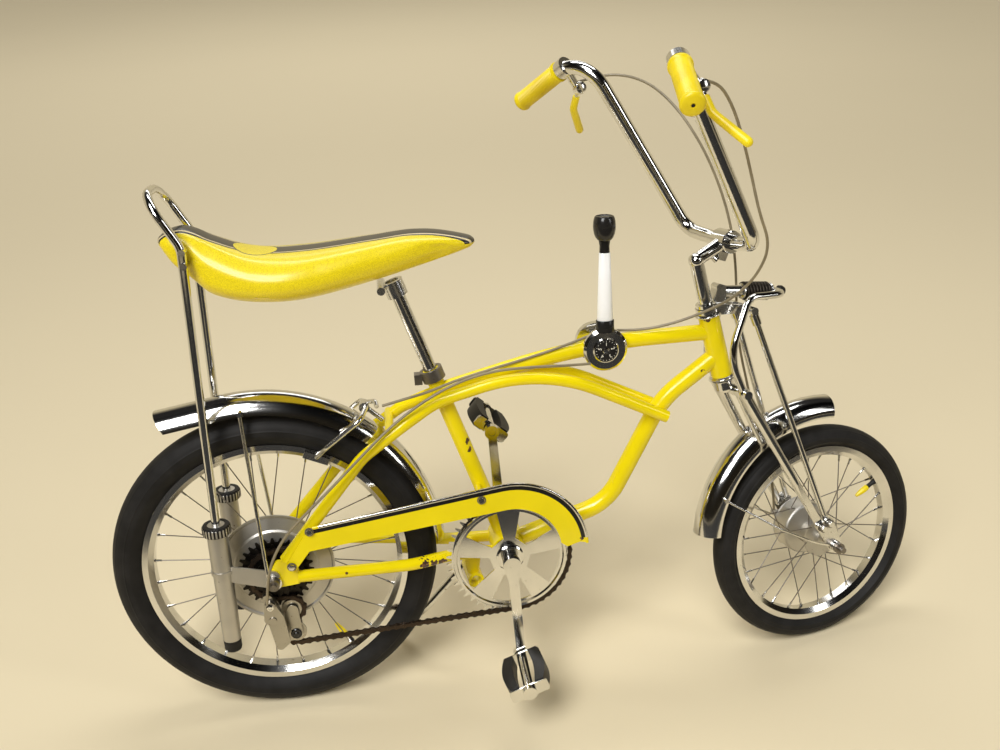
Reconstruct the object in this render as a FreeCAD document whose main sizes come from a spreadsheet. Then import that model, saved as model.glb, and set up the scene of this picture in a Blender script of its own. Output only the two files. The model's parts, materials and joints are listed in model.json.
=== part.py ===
import FreeCAD, Part
import Sketcher
import os
import math

# Chopper bicycle with a sprung front fork, long seat and tall bars.
# Everything is drawn upright and straight ahead: origin at the rear hub, +X forward, +Y to the
# rider's left, +Z up, millimetres. Each sub-part's Placement then turns the fork group about the
# steering axis and leans the whole bicycle onto its side stand.

V = FreeCAD.Vector
os.makedirs("parts", exist_ok=True)
doc = FreeCAD.newDocument("chopper_bicycle")

# Driving dimensions: name, value in mm or degrees, meaning
DIMENSIONS = (
    ("rear_tyre_radius", 254.0, "outside radius of the 20 inch rear tyre"),
    ("rear_tyre_width", 53.6, "section width of the rear tyre"),
    ("rear_rim_radius", 207.0, "outside radius of the rear rim"),
    ("front_tyre_radius", 192.2, "outside radius of the 16 inch front tyre"),
    ("front_tyre_width", 42.6, "section width of the front tyre"),
    ("front_rim_radius", 158.5, "outside radius of the front rim"),
    ("front_axle_x", 904.0, "front axle ahead of the rear axle"),
    ("front_axle_z", -51.8, "front axle height against the rear axle"),
    ("head_top_x", 698.3, "centre of the top of the head tube"),
    ("head_top_z", 355.5, "height of the top of the head tube"),
    ("head_length", 100.3, "length of the head tube"),
    ("head_angle", 76.2, "head tube angle above the horizontal, degrees"),
    ("head_tube_diameter", 33.0, "head tube outside diameter"),
    ("steerer_diameter", 25.4, "steering column diameter"),
    ("crank_x", 368.0, "crank axis ahead of the rear axle"),
    ("crank_z", -4.0, "crank axis height against the rear axle"),
    ("shell_diameter", 55.0, "bottom bracket shell outside diameter"),
    ("shell_width", 68.0, "bottom bracket shell width"),
    ("main_tube_diameter", 25.4, "top tube and seat tube diameter"),
    ("down_tube_diameter", 28.6, "down tube diameter"),
    ("stay_diameter", 19.0, "cantilever tube and chain stay diameter"),
    ("seat_post_diameter", 20.6, "seat post diameter"),
    ("bar_diameter", 22.2, "handlebar tube diameter"),
    ("rail_diameter", 13.0, "sissy bar diameter"),
    ("grip_diameter", 32.0, "handlebar grip diameter"),
    ("arm_length", 165.0, "crank arm, axis to pedal axis"),
    ("ring_teeth", 48.0, "teeth on the chain ring"),
    ("chain_pitch", 12.7, "chain pitch"),
    ("chain_line", 46.0, "chain plane to the right of the mid plane"),
    ("axle_half_width", 60.0, "mid plane to the inner face of a rear dropout"),
    ("fork_half_width", 62.0, "mid plane to the middle of a rocker plate"),
    ("steer_rest", 13.7, "steering turned left as it stands, degrees"),
    ("lean_rest", 7.0, "lean onto the side stand, degrees"),
    ("wall", 2.0, "wall of the open tubes"),
    ("fender_sheet", 1.6, "fender and chain guard sheet"),
    ("guard_radius", 119.5, "outer radius of the chain guard's arch"),
    ("cable_diameter", 5.0, "cable housing diameter"),
)
sheet = doc.addObject("Spreadsheet::Sheet", "Dimensions")
sheet.Label = "Dimensions"
for row, (alias, value, meaning) in enumerate(DIMENSIONS, start=1):
    sheet.set("A%d" % row, alias)
    sheet.set("B%d" % row, str(value))
    sheet.set("C%d" % row, meaning)
    sheet.setAlias("B%d" % row, alias)
doc.recompute()


def size(alias):
    return float(sheet.get(alias))


# Steering axis, front axle, ground line and the two poses
HEAD_TOP = V(size("head_top_x"), 0, size("head_top_z"))
HEAD = math.radians(size("head_angle"))
AXIS = V(-math.cos(HEAD), 0, math.sin(HEAD))
HEAD_BOTTOM = HEAD_TOP - AXIS * size("head_length")
FRONT_AXLE = V(size("front_axle_x"), 0, size("front_axle_z"))
CRANK = V(size("crank_x"), 0, size("crank_z"))
LEFT = V(0, 1, 0)
UP = V(0, 0, 1)
TURN = FreeCAD.Rotation(AXIS, size("steer_rest"))
STEER = FreeCAD.Placement(V(), TURN, HEAD_TOP)


def tyre_bottom(centre, spin, radius, width):
    """Height of the lowest point of a leaning tyre."""
    ring = radius - width / 2
    return centre.z - ring * math.sqrt(1 - spin.z ** 2) - width / 2


def pose(pitch):
    """Lean and pitch of the bicycle, turned about the rear hub."""
    lean = FreeCAD.Rotation(V(1, 0, 0), -size("lean_rest"))
    return lean.multiply(FreeCAD.Rotation(LEFT, pitch))


def tyre_heights(turn):
    rear = tyre_bottom(V(), turn.multVec(LEFT), size("rear_tyre_radius"), size("rear_tyre_width"))
    hub = turn.multVec(STEER.multVec(FRONT_AXLE))
    spin = turn.multVec(TURN.multVec(LEFT))
    front = tyre_bottom(hub, spin, size("front_tyre_radius"), size("front_tyre_width"))
    return rear, front


low_pitch, high_pitch = -5.0, 5.0
for step in range(50):
    pitch_rest = (low_pitch + high_pitch) / 2
    rear_height, front_height = tyre_heights(pose(pitch_rest))
    if front_height > rear_height:
        low_pitch = pitch_rest
    else:
        high_pitch = pitch_rest
STANCE = pose(pitch_rest)
GROUND_UP = STANCE.inverted().multVec(UP)
GROUND_LEVEL = rear_height

# Every finished sub-part, with its group's pose, goes into this list.
PIECES = []


def finish(piece, label, steered=False):
    """Name a sub-part and put it in the frame group or in the steered group."""
    piece.Label = label
    PIECES.append((piece, steered))
    return piece


def bind(piece, **sizes):
    """Bind sizes of a piece to the sheet."""
    for prop, formula in sizes.items():
        piece.setExpression(prop, formula)
    return piece


def toward(direction):
    """Rotation that takes +Z to a direction."""
    return FreeCAD.Rotation(UP, direction)


def rod(name, start, direction, radius, length):
    """Cylinder bound to the sheet: radius and length are formulas."""
    piece = doc.addObject("Part::Cylinder", name)
    bind(piece, Radius=radius, Height=length)
    piece.Placement = FreeCAD.Placement(start, toward(direction))
    return piece


def minus(name, base, tool):
    piece = doc.addObject("Part::Cut", name)
    piece.Base = base
    piece.Tool = tool
    return piece


def feature(name, shape):
    piece = doc.addObject("Part::Feature", name)
    piece.Shape = shape
    return piece


def route(points, radii):
    """Wire of straight runs with tangent arcs at the inner points."""
    edges = []
    here = points[0]
    for index in range(1, len(points) - 1):
        corner = points[index]
        back = (points[index - 1] - corner).normalize()
        out = (points[index + 1] - corner).normalize()
        turn = math.pi - back.getAngle(out)
        reach = radii[index - 1] * math.tan(turn / 2)
        first = corner + back * reach
        last = corner + out * reach
        middle = (back + out).normalize()
        centre = corner + middle * (radii[index - 1] / math.cos(turn / 2))
        crown = centre - middle * radii[index - 1]
        if (first - here).Length > 0.01:
            edges.append(Part.LineSegment(here, first).toShape())
        edges.append(Part.Arc(first, crown, last).toShape())
        here = last
    edges.append(Part.LineSegment(here, points[-1]).toShape())
    return Part.Wire(edges)


def pipe(points, radii, diameter):
    """Round bar along a route."""
    spine = route(points, radii)
    start = points[0]
    ring = Part.Circle(start, points[1] - start, diameter / 2)
    profile = Part.Wire([ring.toShape()])
    return spine.makePipeShell([profile], True, False)


def bar(start, end, diameter, end_diameter=None):
    """Straight round bar or taper between two points."""
    along = end - start
    if end_diameter is None or abs(end_diameter - diameter) < 0.01:
        return Part.makeCylinder(diameter / 2, along.Length, start, along)
    return Part.makeCone(diameter / 2, end_diameter / 2, along.Length, start, along)


def disc(centre, axis, radius, thickness, hole=0.0):
    """Round plate centred on a point."""
    base = centre - axis * (thickness / 2)
    plate = Part.makeCylinder(radius, thickness, base, axis)
    if hole > 0:
        plate = plate.cut(Part.makeCylinder(hole, thickness + 2, base - axis, axis))
    return plate


def at(alias, offset=0.0, factor=1.0):
    """A length from the sheet: its value and its formula."""
    return size(alias) * factor + offset, "Dimensions.%s * %s + (%s)" % (alias, factor, offset)


def value(length):
    return length[0] if isinstance(length, tuple) else length


def new_sketch(body, name, plane="XZ_Plane"):
    """Sketch on one of the body's own planes."""
    sketch = body.newObject("Sketcher::SketchObject", name)
    origin = [item for item in body.Origin.OriginFeatures if item.Role == plane][0]
    sketch.AttachmentSupport = [(origin, "")]
    sketch.MapMode = "FlatFace"
    return sketch


def arc_between(first, last, rise):
    """Arc that stands a given rise off its chord, to the right of the way from first to last."""
    chord = last - first
    side = V(chord.y, -chord.x, 0).normalize()
    return Part.Arc(first, (first + last) * 0.5 + side * rise, last).toShape().Curve


def draw(sketch, rows):
    """Closed, fully dimensioned loop. Row: across, up, rise of an arc to the next point (none: a line)."""
    points = [V(value(row[0]), value(row[1]), 0) for row in rows]
    ends = []
    rules = []
    for index, row in enumerate(rows):
        first = points[index]
        last = points[(index + 1) % len(rows)]
        if len(row) < 3:
            sketch.addGeometry(Part.LineSegment(first, last), False)
            ends.append((1, 2))
            continue
        circle = arc_between(first, last, row[2])
        start, stop = (first, last) if row[2] > 0 else (last, first)
        low = math.atan2(start.y - circle.Center.y, start.x - circle.Center.x)
        high = math.atan2(stop.y - circle.Center.y, stop.x - circle.Center.x)
        if high < low:
            high += 2 * math.pi
        arc = Part.ArcOfCircle(Part.Circle(circle.Center, V(0, 0, 1), circle.Radius), low, high)
        sketch.addGeometry(arc, False)
        rules.append(Sketcher.Constraint("Radius", index, circle.Radius))
        ends.append((1, 2) if row[2] > 0 else (2, 1))
    bound = []
    for index, row in enumerate(rows):
        point = (index, ends[index][0])
        rules.append(Sketcher.Constraint("Coincident", index - 1 if index else len(rows) - 1,
                                         ends[index - 1][1], *point))
        for length, kind, line in ((row[0], "DistanceX", -2), (row[1], "DistanceY", -1)):
            if abs(value(length)) < 1e-7:
                rules.append(Sketcher.Constraint("PointOnObject", *point, line))
                continue
            rules.append(Sketcher.Constraint(kind, -1, 1, *point, value(length)))
            if isinstance(length, tuple):
                bound.append((len(rules) - 1, "%s%d" % (kind, index), length[1]))
    sketch.addConstraint(rules)
    for number, name, formula in bound:
        sketch.renameConstraint(number, name)
        sketch.setExpression("Constraints." + name, formula)


def turned(name, rows, centre, axis=LEFT, angle=360.0):
    """Body turned from a half section. Row: radius, offset along the axis, rise of an arc."""
    body = doc.addObject("PartDesign::Body", name)
    sketch = new_sketch(body, name + "Section")
    draw(sketch, rows)
    turn = body.newObject("PartDesign::Revolution", name + "Turn")
    turn.Profile = sketch
    turn.ReferenceAxis = (sketch, ["V_Axis"])
    turn.Angle = angle
    body.Placement = FreeCAD.Placement(centre, toward(axis))
    doc.recompute()
    return body


def slab(name, rows, low, high, windows=()):
    """Body padded from a side view outline between two depths, with round windows: x, z, radius."""
    body = doc.addObject("PartDesign::Body", name)
    sketch = new_sketch(body, name + "Outline")
    draw(sketch, rows)
    pad = body.newObject("PartDesign::Pad", name + "Pad")
    pad.Profile = sketch
    pad.SideType = "Symmetric"
    pad.Length = high - low
    if windows:
        holes = new_sketch(body, name + "Holes")
        for x, z, radius in windows:
            holes.addGeometry(Part.Circle(V(x, z, 0), V(0, 0, 1), radius), False)
        pocket = body.newObject("PartDesign::Pocket", name + "Pocket")
        pocket.Profile = holes
        pocket.Type = "ThroughAll"
        pocket.SideType = "Symmetric"
    body.Placement = FreeCAD.Placement(V(0, (low + high) / 2, 0), FreeCAD.Rotation())
    doc.recompute()
    return body


def cut_through(body, name, rows, plane="XZ_Plane"):
    """Pocket through a body both ways from a plane. Rows: an outline, or one circle as x, y, radius."""
    sketch = new_sketch(body, name + "Outline", plane)
    if len(rows) == 1:
        x, y, radius = rows[0]
        sketch.addGeometry(Part.Circle(V(x, y, 0), V(0, 0, 1), radius), False)
    else:
        draw(sketch, rows)
    pocket = body.newObject("PartDesign::Pocket", name)
    pocket.Profile = sketch
    pocket.Type = "ThroughAll"
    pocket.SideType = "Symmetric"
    return pocket


def round_rows(circles):
    """Outline rows round a row of circles, anticlockwise. Circle: x, z, radius."""
    count = len(circles)
    normals = []
    for index in range(count):
        x, z, radius = circles[index]
        next_x, next_z, next_radius = circles[(index + 1) % count]
        gap = math.hypot(next_x - x, next_z - z)
        heading = math.atan2(next_z - z, next_x - x)
        normals.append(heading - math.pi / 2 + math.asin((radius - next_radius) / gap))
    rows = []
    for index in range(count):
        x, z, radius = circles[index]
        arrive, leave = normals[index - 1], normals[index]
        sweep = (leave - arrive) % (2 * math.pi)
        rows.append((x + radius * math.cos(arrive), z + radius * math.sin(arrive),
                     radius * (1 - math.cos(sweep / 2))))
        rows.append((x + radius * math.cos(leave), z + radius * math.sin(leave)))
    return rows


def side_face(rows, depth):
    """Face with a side view outline at one depth. Rows as for a sketch."""
    edges = []
    for index, row in enumerate(rows):
        first = V(value(row[0]), value(row[1]), 0)
        last = V(value(rows[(index + 1) % len(rows)][0]), value(rows[(index + 1) % len(rows)][1]), 0)
        if len(row) < 3:
            edges.append(Part.LineSegment(first, last).toShape())
        else:
            chord = last - first
            middle = (first + last) * 0.5 + V(chord.y, -chord.x, 0).normalize() * row[2]
            edges.append(Part.Arc(first, middle, last).toShape())
    wire = Part.Wire(edges)
    wire.rotate(V(), V(1, 0, 0), 90)
    wire.translate(V(0, depth, 0))
    return Part.Face(wire)


def plate_xz(rows, low, high):
    """Flat plate with an outline in the side view, between two depths."""
    return side_face(rows, low).extrude(V(0, high - low, 0))


def plate_round(circles, low, high):
    """Flat link with round ends. Circle: x, z, radius, anticlockwise."""
    return plate_xz(round_rows(circles), low, high)


def pin(point, radius, low, high):
    """Round pin across the bicycle between two depths, at a point's x and z."""
    return Part.makeCylinder(radius, high - low, V(point.x, low, point.z), LEFT)


def largest(shape):
    return max(shape.Solids, key=lambda solid: solid.Volume)


def box_at(centre, length, width, height):
    corner = centre - V(length / 2, width / 2, height / 2)
    return Part.makeBox(length, width, height, corner)


def mirrored(shape):
    return shape.mirror(V(), LEFT)


def both_sides(shape):
    """The right-hand piece and its mirror image as one pair."""
    return Part.makeCompound([shape, mirrored(shape)])


# Frame tubes
HEAD_R = "Dimensions.head_tube_diameter / 2"
head_outer = rod("HeadOuter", HEAD_BOTTOM, AXIS, HEAD_R, "Dimensions.head_length")
head_bore = rod("HeadBore", HEAD_BOTTOM, AXIS, HEAD_R + " - Dimensions.wall", "Dimensions.head_length")
head_tube = finish(minus("HeadTube", head_outer, head_bore), "head_tube")

SHELL_R = "Dimensions.shell_diameter / 2"
SHELL_START = CRANK - LEFT * (size("shell_width") / 2)
shell_outer = rod("ShellOuter", SHELL_START, LEFT, SHELL_R, "Dimensions.shell_width")
shell_bore = rod("ShellBore", SHELL_START, LEFT, SHELL_R + " - 3", "Dimensions.shell_width")
shell = finish(minus("BottomBracketShell", shell_outer, shell_bore), "bottom_bracket_shell")
HEAD_SOLID = Part.makeCylinder(size("head_tube_diameter") / 2, size("head_length"), HEAD_BOTTOM, AXIS)
SHELL_SOLID = Part.makeCylinder(size("shell_diameter") / 2, size("shell_width"), SHELL_START, LEFT)

TUBE = size("main_tube_diameter")
TOP_START = V(694, 0, 330)
TOP_POINTS = [TOP_START, V(560, 0, 327), V(430, 0, 307), V(268, 0, 266)]
top_tube = pipe(TOP_POINTS, [700, 900], TUBE)

SEAT_TUBE_TOP = V(263, 0, 303)
SEAT_DIRECTION = (SEAT_TUBE_TOP - CRANK).normalize()
seat_tube_solid = bar(CRANK, SEAT_TUBE_TOP, TUBE).cut(SHELL_SOLID)
seat_bore = bar(SEAT_TUBE_TOP - SEAT_DIRECTION * 120, SEAT_TUBE_TOP, size("seat_post_diameter") + 0.4)
finish(feature("SeatTube", seat_tube_solid.cut(seat_bore)), "seat_tube")

DOWN = size("down_tube_diameter")
DOWN_POINTS = [V(712, 0, 290), V(625, 0, 224), V(536, 0, 52), CRANK]
down_tube_solid = pipe(DOWN_POINTS, [150, 90], DOWN)
down_tube_solid = down_tube_solid.cut(HEAD_SOLID).cut(SHELL_SOLID).cut(seat_tube_solid)
finish(feature("DownTube", down_tube_solid), "down_tube")
top_tube = top_tube.cut(HEAD_SOLID).cut(seat_tube_solid).cut(down_tube_solid)
top_tube = max(top_tube.Solids, key=lambda solid: solid.Volume)
finish(feature("TopTube", top_tube), "top_tube")

# The twin cantilever tubes run from the dropouts past the seat tube to the down tube.
STAY = size("stay_diameter")
HALF = size("axle_half_width")
STAY_TUBE = 46.0
STAY_SEAT = 23.0
STAY_POINTS = [V(20, -HALF - 4, 34), V(150, -STAY_TUBE, 186), V(214, -42, 230), V(268, -STAY_SEAT, 258),
               V(430, -STAY_SEAT, 300), V(628, -24.5, 203)]
STAY_RADII = [110, 60, 120, 260]
stay_right = pipe(STAY_POINTS, STAY_RADII, STAY)
frame_core = [seat_tube_solid, top_tube, down_tube_solid]
for solid in frame_core:
    stay_right = stay_right.cut(solid)
stay_right = max(stay_right.Solids, key=lambda solid: solid.Volume)
finish(feature("CantileverTubes", both_sides(stay_right)), "cantilever_tubes")

CHAINSTAY_POINTS = [V(36, -HALF - 4, 4), V(215, -45, -5), V(268, -29, -4), V(366, -24, -4)]
chainstay_right = pipe(CHAINSTAY_POINTS, [180, 140], STAY).cut(SHELL_SOLID).cut(down_tube_solid).cut(seat_tube_solid)
finish(feature("ChainStays", both_sides(chainstay_right)), "chain_stays")

# Rear dropouts: plates inside the stay ends, with an ear for the chain guard
DROPOUT_CIRCLES = [(0, 0, 12), (34, 0, 8), (30, 28, 6), (10, 26, 8)]
dropout = plate_round(DROPOUT_CIRCLES, -HALF - 6, -HALF)
dropout = dropout.cut(pin(V(), 5.2, -HALF - 10, -HALF + 5)).cut(stay_right).cut(chainstay_right)
dropout = largest(dropout)
finish(feature("Dropouts", both_sides(dropout)), "dropouts")

# Bridge between the cantilever tubes, which carries the rear brake
BRIDGE_X = 194.0
BRIDGE_Z = 221.0
bridge = pin(V(BRIDGE_X, 0, BRIDGE_Z), 7, -50, 50)
bridge = bridge.cut(stay_right).cut(mirrored(stay_right))
bridge = min(bridge.Solids, key=lambda solid: abs(solid.CenterOfMass.y))
finish(feature("StayBridge", bridge), "stay_bridge")

# Stand: a short housing under the chain stays and a bent leg that swings up and back
STAND_PIVOT = V(308, 40, -58)
STAND_AXIS = V(-0.1, 0.95, 0).normalize()
HOUSING_LENGTH = 62.0
LEG_BORE = 8.5
housing = Part.makeCylinder(13, HOUSING_LENGTH, STAND_PIVOT - STAND_AXIS * HOUSING_LENGTH, STAND_AXIS)
housing_web = plate_xz([(296, -44), (322, -44), (330, -4), (296, -4)], -14, -4)
housing = housing.fuse(housing_web).fuse(pin(V(306, 0, -6), 8, -34, 34))
housing = housing.cut(Part.makeCylinder(LEG_BORE, 90, STAND_PIVOT - STAND_AXIS * 80, STAND_AXIS))
housing = housing.cut(SHELL_SOLID).cut(chainstay_right).cut(mirrored(chainstay_right)).cut(seat_tube_solid)
finish(feature("StandHousing", largest(housing)), "stand_housing")

FOOT_X = 172.0
FOOT_Y = 128.0
LEG_RADIUS = 6.5
foot_z = (GROUND_LEVEL - GROUND_UP.x * FOOT_X - GROUND_UP.y * FOOT_Y) / GROUND_UP.z
LEG_KNEE = V(232, 46, -140)
LEG_FOOT = V(FOOT_X, FOOT_Y, foot_z)
leg_pin = Part.makeCylinder(8, 52, STAND_PIVOT - STAND_AXIS * 50, STAND_AXIS)
leg = pipe([STAND_PIVOT + V(-2, 6, -1), LEG_KNEE, LEG_FOOT + (LEG_KNEE - LEG_FOOT).normalize() * -20],
           [40], LEG_RADIUS * 2)
leg = leg.fuse(Part.makeSphere(8.0, STAND_PIVOT + V(-2, 6, -1))).fuse(leg_pin)
FLOOR_TOOL = Part.makeCylinder(700, 300, GROUND_UP * (GROUND_LEVEL - 300), GROUND_UP)
leg = leg.cut(FLOOR_TOOL)
finish(feature("StandLeg", leg), "stand_leg")

# Seat post, clamp ring, saddle bracket and the long seat
POST_BOTTOM = SEAT_TUBE_TOP - SEAT_DIRECTION * 90
POST_TOP = CRANK + SEAT_DIRECTION * 470
post = doc.addObject("Part::Cylinder", "SeatPost")
bind(post, Radius="Dimensions.seat_post_diameter / 2")
post.Height = (POST_TOP - POST_BOTTOM).Length
post.Placement = FreeCAD.Placement(POST_BOTTOM, toward(SEAT_DIRECTION))
finish(post, "seat_post")
clamp = disc(SEAT_TUBE_TOP - SEAT_DIRECTION * 8, SEAT_DIRECTION, 18, 18, TUBE / 2 + 0.1)
clamp = clamp.fuse(box_at(SEAT_TUBE_TOP - SEAT_DIRECTION * 8 + V(-22, 0, -6), 12, 16, 16))
clamp = clamp.cut(Part.makeCylinder(TUBE / 2 + 0.1, 60, SEAT_TUBE_TOP - SEAT_DIRECTION * 40, SEAT_DIRECTION))
clamp = clamp.cut(stay_right).cut(mirrored(stay_right)).cut(top_tube)
clamp = largest(clamp)
finish(feature("SeatClamp", clamp), "seat_clamp")

# The seat's side outline: x, underside height, top height, half width
SEAT_SECTIONS = (
    (-104, 524, 538, 22),
    (-88, 497, 545, 36),
    (-66, 476, 545, 43),
    (-36, 449, 524, 58),
    (20, 434, 503, 76),
    (90, 434, 500, 80),
    (190, 457, 509, 62),
    (270, 477, 517, 42),
    (336, 495, 507, 20),
)


def seat_section(x, low, high, half):
    """Rounded section across the seat."""
    shoulder = low + (high - low) * 0.72
    waist = low + (high - low) * 0.12
    points = [V(x, -half * 0.8, waist), V(x, 0, low), V(x, half * 0.8, waist)]
    under = Part.Arc(points[0], points[1], points[2]).toShape()
    side_left = Part.LineSegment(points[2], V(x, half, shoulder)).toShape()
    top = Part.Arc(V(x, half, shoulder), V(x, 0, high), V(x, -half, shoulder)).toShape()
    side_right = Part.LineSegment(V(x, -half, shoulder), points[0]).toShape()
    return Part.Wire([under, side_left, top, side_right])


seat = Part.makeLoft([seat_section(*row) for row in SEAT_SECTIONS], True, False)
bracket = disc(POST_TOP + SEAT_DIRECTION * -7, SEAT_DIRECTION, 16, 24, size("seat_post_diameter") / 2)
bracket = bracket.fuse(Part.makeCylinder(6, 64, POST_TOP + SEAT_DIRECTION * -7 + V(-20, -32, 4), LEFT))
bracket = bracket.cut(Part.makeCylinder(size("seat_post_diameter") / 2, 80, POST_TOP - SEAT_DIRECTION * 60,
                                        SEAT_DIRECTION))
bracket = largest(bracket.cut(seat))
finish(feature("SaddleBracket", bracket), "saddle_bracket")
post_tool = Part.makeCylinder(size("seat_post_diameter") / 2 + 0.1, 200, POST_TOP - SEAT_DIRECTION * 100,
                              SEAT_DIRECTION)
seat = largest(seat.cut(post_tool))
finish(feature("Seat", seat), "seat")

# Sissy bar: a bent loop standing in the two shock-style struts
RAIL = size("rail_diameter")
STRUT_X = -76.0
STRUT_Y = 62.0
RAIL_TOP_Y = 54.0
RAIL_POINTS = [V(STRUT_X, -STRUT_Y, 96), V(-70, -RAIL_TOP_Y, 524), V(-111, -RAIL_TOP_Y + 2, 597),
               V(-111, RAIL_TOP_Y - 2, 597), V(-70, RAIL_TOP_Y, 524), V(STRUT_X, STRUT_Y, 96)]
rail = pipe(RAIL_POINTS, [40, 40, 40, 40], RAIL)
# Bolts through the legs into the seat, heights above the axle
for height in (500, 519):
    for side in (-1, 1):
        start, end = sorted((side * 36, side * (RAIL_TOP_Y + 10)))
        rail = rail.fuse(pin(V(-68.5, 0, height), 5, start, end))
rail = largest(rail.cut(seat))
finish(feature("SissyBar", rail), "sissy_bar")

# Strut turned about its upright axis: radius, height against the axle
STRUT_ROWS = ((0, -113), (12, -113), (13, -110), (13, -95), (13.8, -95), (15, 22), (17, 22), (17, 28),
              (15.7, 28), (15.7, 90), (21, 90), (21, 101), (19, 104), (0, 104))
strut_body = turned("StrutTurned", STRUT_ROWS, V(STRUT_X, -STRUT_Y, 0), UP)
LUG_CIRCLES = [(0, 0, 11), (0, 10, 9), (STRUT_X + 14, 24, 9), (STRUT_X + 14, 16, 9)]
lug = plate_round(LUG_CIRCLES, -HALF - 9.2, -HALF - 6.2).cut(pin(V(), 5.2, -90, -50))
strut_right = largest(strut_body.Shape.fuse(lug).cut(rail))
finish(feature("SeatStruts", both_sides(strut_right)), "seat_struts")

# Rear fender: a half-round strip bent round the wheel, with a straight kicked-up tail
FENDER_CENTRE = V(-9.1, 0, 11.9)
FENDER_CROWN = 278.1
FENDER_RISE = 28.0
FENDER_HALF = 33.0
FENDER_TAIL = 101.0
FENDER_END = 99.7
FENDER_START = 1.5
SHEET = size("fender_sheet")


def fender(name, centre, crown, rise, half, low, high):
    """Fender strip: thin half-round section turned about a centre between two angles above forward."""
    lip = crown - rise
    rows = ((lip, -half, rise), (lip, half), (lip, half - SHEET, SHEET - rise), (lip, SHEET - half))
    body = turned(name, rows, centre, LEFT, high - low)
    body.Placement = FreeCAD.Placement(centre, FreeCAD.Rotation(LEFT, -high).multiply(toward(LEFT)))
    doc.recompute()
    return body


rear_fender = fender("RearFender", FENDER_CENTRE, FENDER_CROWN, FENDER_RISE, FENDER_HALF, FENDER_START, FENDER_END)
tail = rear_fender.newObject("PartDesign::Pad", "FenderTail")
tail.Profile = rear_fender.Group[0]
tail.Length = FENDER_TAIL
LIP = FENDER_CROWN - FENDER_RISE
cut_through(rear_fender, "TailEnd", ((LIP - 2, -FENDER_TAIL - 4), (FENDER_CROWN + 2, -FENDER_TAIL - 4),
                                     (FENDER_CROWN + 2, -FENDER_TAIL - 1), (LIP - 2, 13 - FENDER_TAIL)), "XY_Plane")
# The inner edge is cut away where it would come near the tyre
EDGE_RADIUS = 257.0
end_turn = math.radians(FENDER_END)
hub_x = -FENDER_CENTRE.x * math.cos(end_turn) - FENDER_CENTRE.z * math.sin(end_turn)
hub_y = -FENDER_CENTRE.x * math.sin(end_turn) + FENDER_CENTRE.z * math.cos(end_turn)
cut_through(rear_fender, "InnerEdge", ((hub_x, hub_y, EDGE_RADIUS),), "XY_Plane")
doc.recompute()
finish(rear_fender, "rear_fender")
fender_shape = rear_fender.Shape.copy()

# Fender stays: a wire from a bolt on the fender's side down to an eye on the axle
EYE_Y = -HALF - 11.0
STAY_BOLT = V(-24, 0, 268)
fender_stay = bar(V(STAY_BOLT.x, -FENDER_HALF - 4.5, STAY_BOLT.z), V(-8, EYE_Y + 0.5, 9), 6)
fender_stay = fender_stay.fuse(pin(STAY_BOLT, 4, -FENDER_HALF - 8, -26)).fuse(disc(V(0, EYE_Y, 0), LEFT, 12, 3))
fender_stay = fender_stay.common(Part.makeBox(200, 140, 400, V(-100, EYE_Y - 1.5, -50)))
fender_stay = fender_stay.cut(pin(V(), 5.2, -100, 0)).cut(fender_shape)
fender_stay = largest(fender_stay.cut(dropout).cut(strut_right))
finish(feature("FenderStays", both_sides(fender_stay)), "fender_stays")

# Wheels
BEAD = 0.3


def tyre(name, centre, which, spin):
    """Tyre turned from a few-sided round section, with a corner of the section where it stands."""
    radius, width, rim = ("%s_%s" % (which, part) for part in ("tyre_radius", "tyre_width", "rim_radius"))
    contact = math.degrees(math.asin(abs(spin.z)))
    rows = []
    for angle in (-97, -52, -contact, contact, 52, 97):
        out = math.cos(math.radians(angle)) / 2 - 0.5
        across = math.sin(math.radians(angle)) / 2
        rows.append(((size(radius) + size(width) * out,
                      "Dimensions.%s + Dimensions.%s * (%s)" % (radius, width, out)), at(width, 0, across)))
    bead_half = size(width) * 0.27
    rows = [(at(rim, BEAD), -bead_half)] + rows + [(at(rim, BEAD), bead_half)]
    return turned(name, rows, centre)


def rim(name, centre, which, half):
    """Rim turned from a channel section: round edges, straight well and a closed bed."""
    edge = which + "_rim_radius"
    rows = ((at(edge), -half, 0.25), (at(edge), 2.5 - half), (at(edge, -7), 4 - half), (at(edge, -7), half - 4),
            (at(edge), half - 2.5, 0.25), (at(edge), half), (at(edge, -9), half), (at(edge, -17), half * 0.55),
            (at(edge, -17), -half * 0.55), (at(edge, -9), -half))
    return turned(name, rows, centre)


finish(tyre("RearTyre", V(), "rear", STANCE.multVec(LEFT)), "rear_tyre")
finish(rim("RearRim", V(), "rear", 17), "rear_rim")
AXLE_CLEAR = 5.2
# Rear hub with its dished spoke guard: radius, offset to the left
REAR_HUB = ((AXLE_CLEAR, -31), (20, -31), (64, -26), (67, -23.5), (86, -20.5), (88, -22.5), (91, -22.5), (91, -19.5),
            (66, -21.5), (63, -24), (26, -28), (20, -28), (20, -23.4), (24, -23), (24, -20), (15, -19), (13, 4),
            (15, 27), (24, 28), (24, 31), (12, 32), (12, 46), (AXLE_CLEAR, 46))
finish(turned("RearHub", REAR_HUB, V()), "rear_hub")


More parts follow.
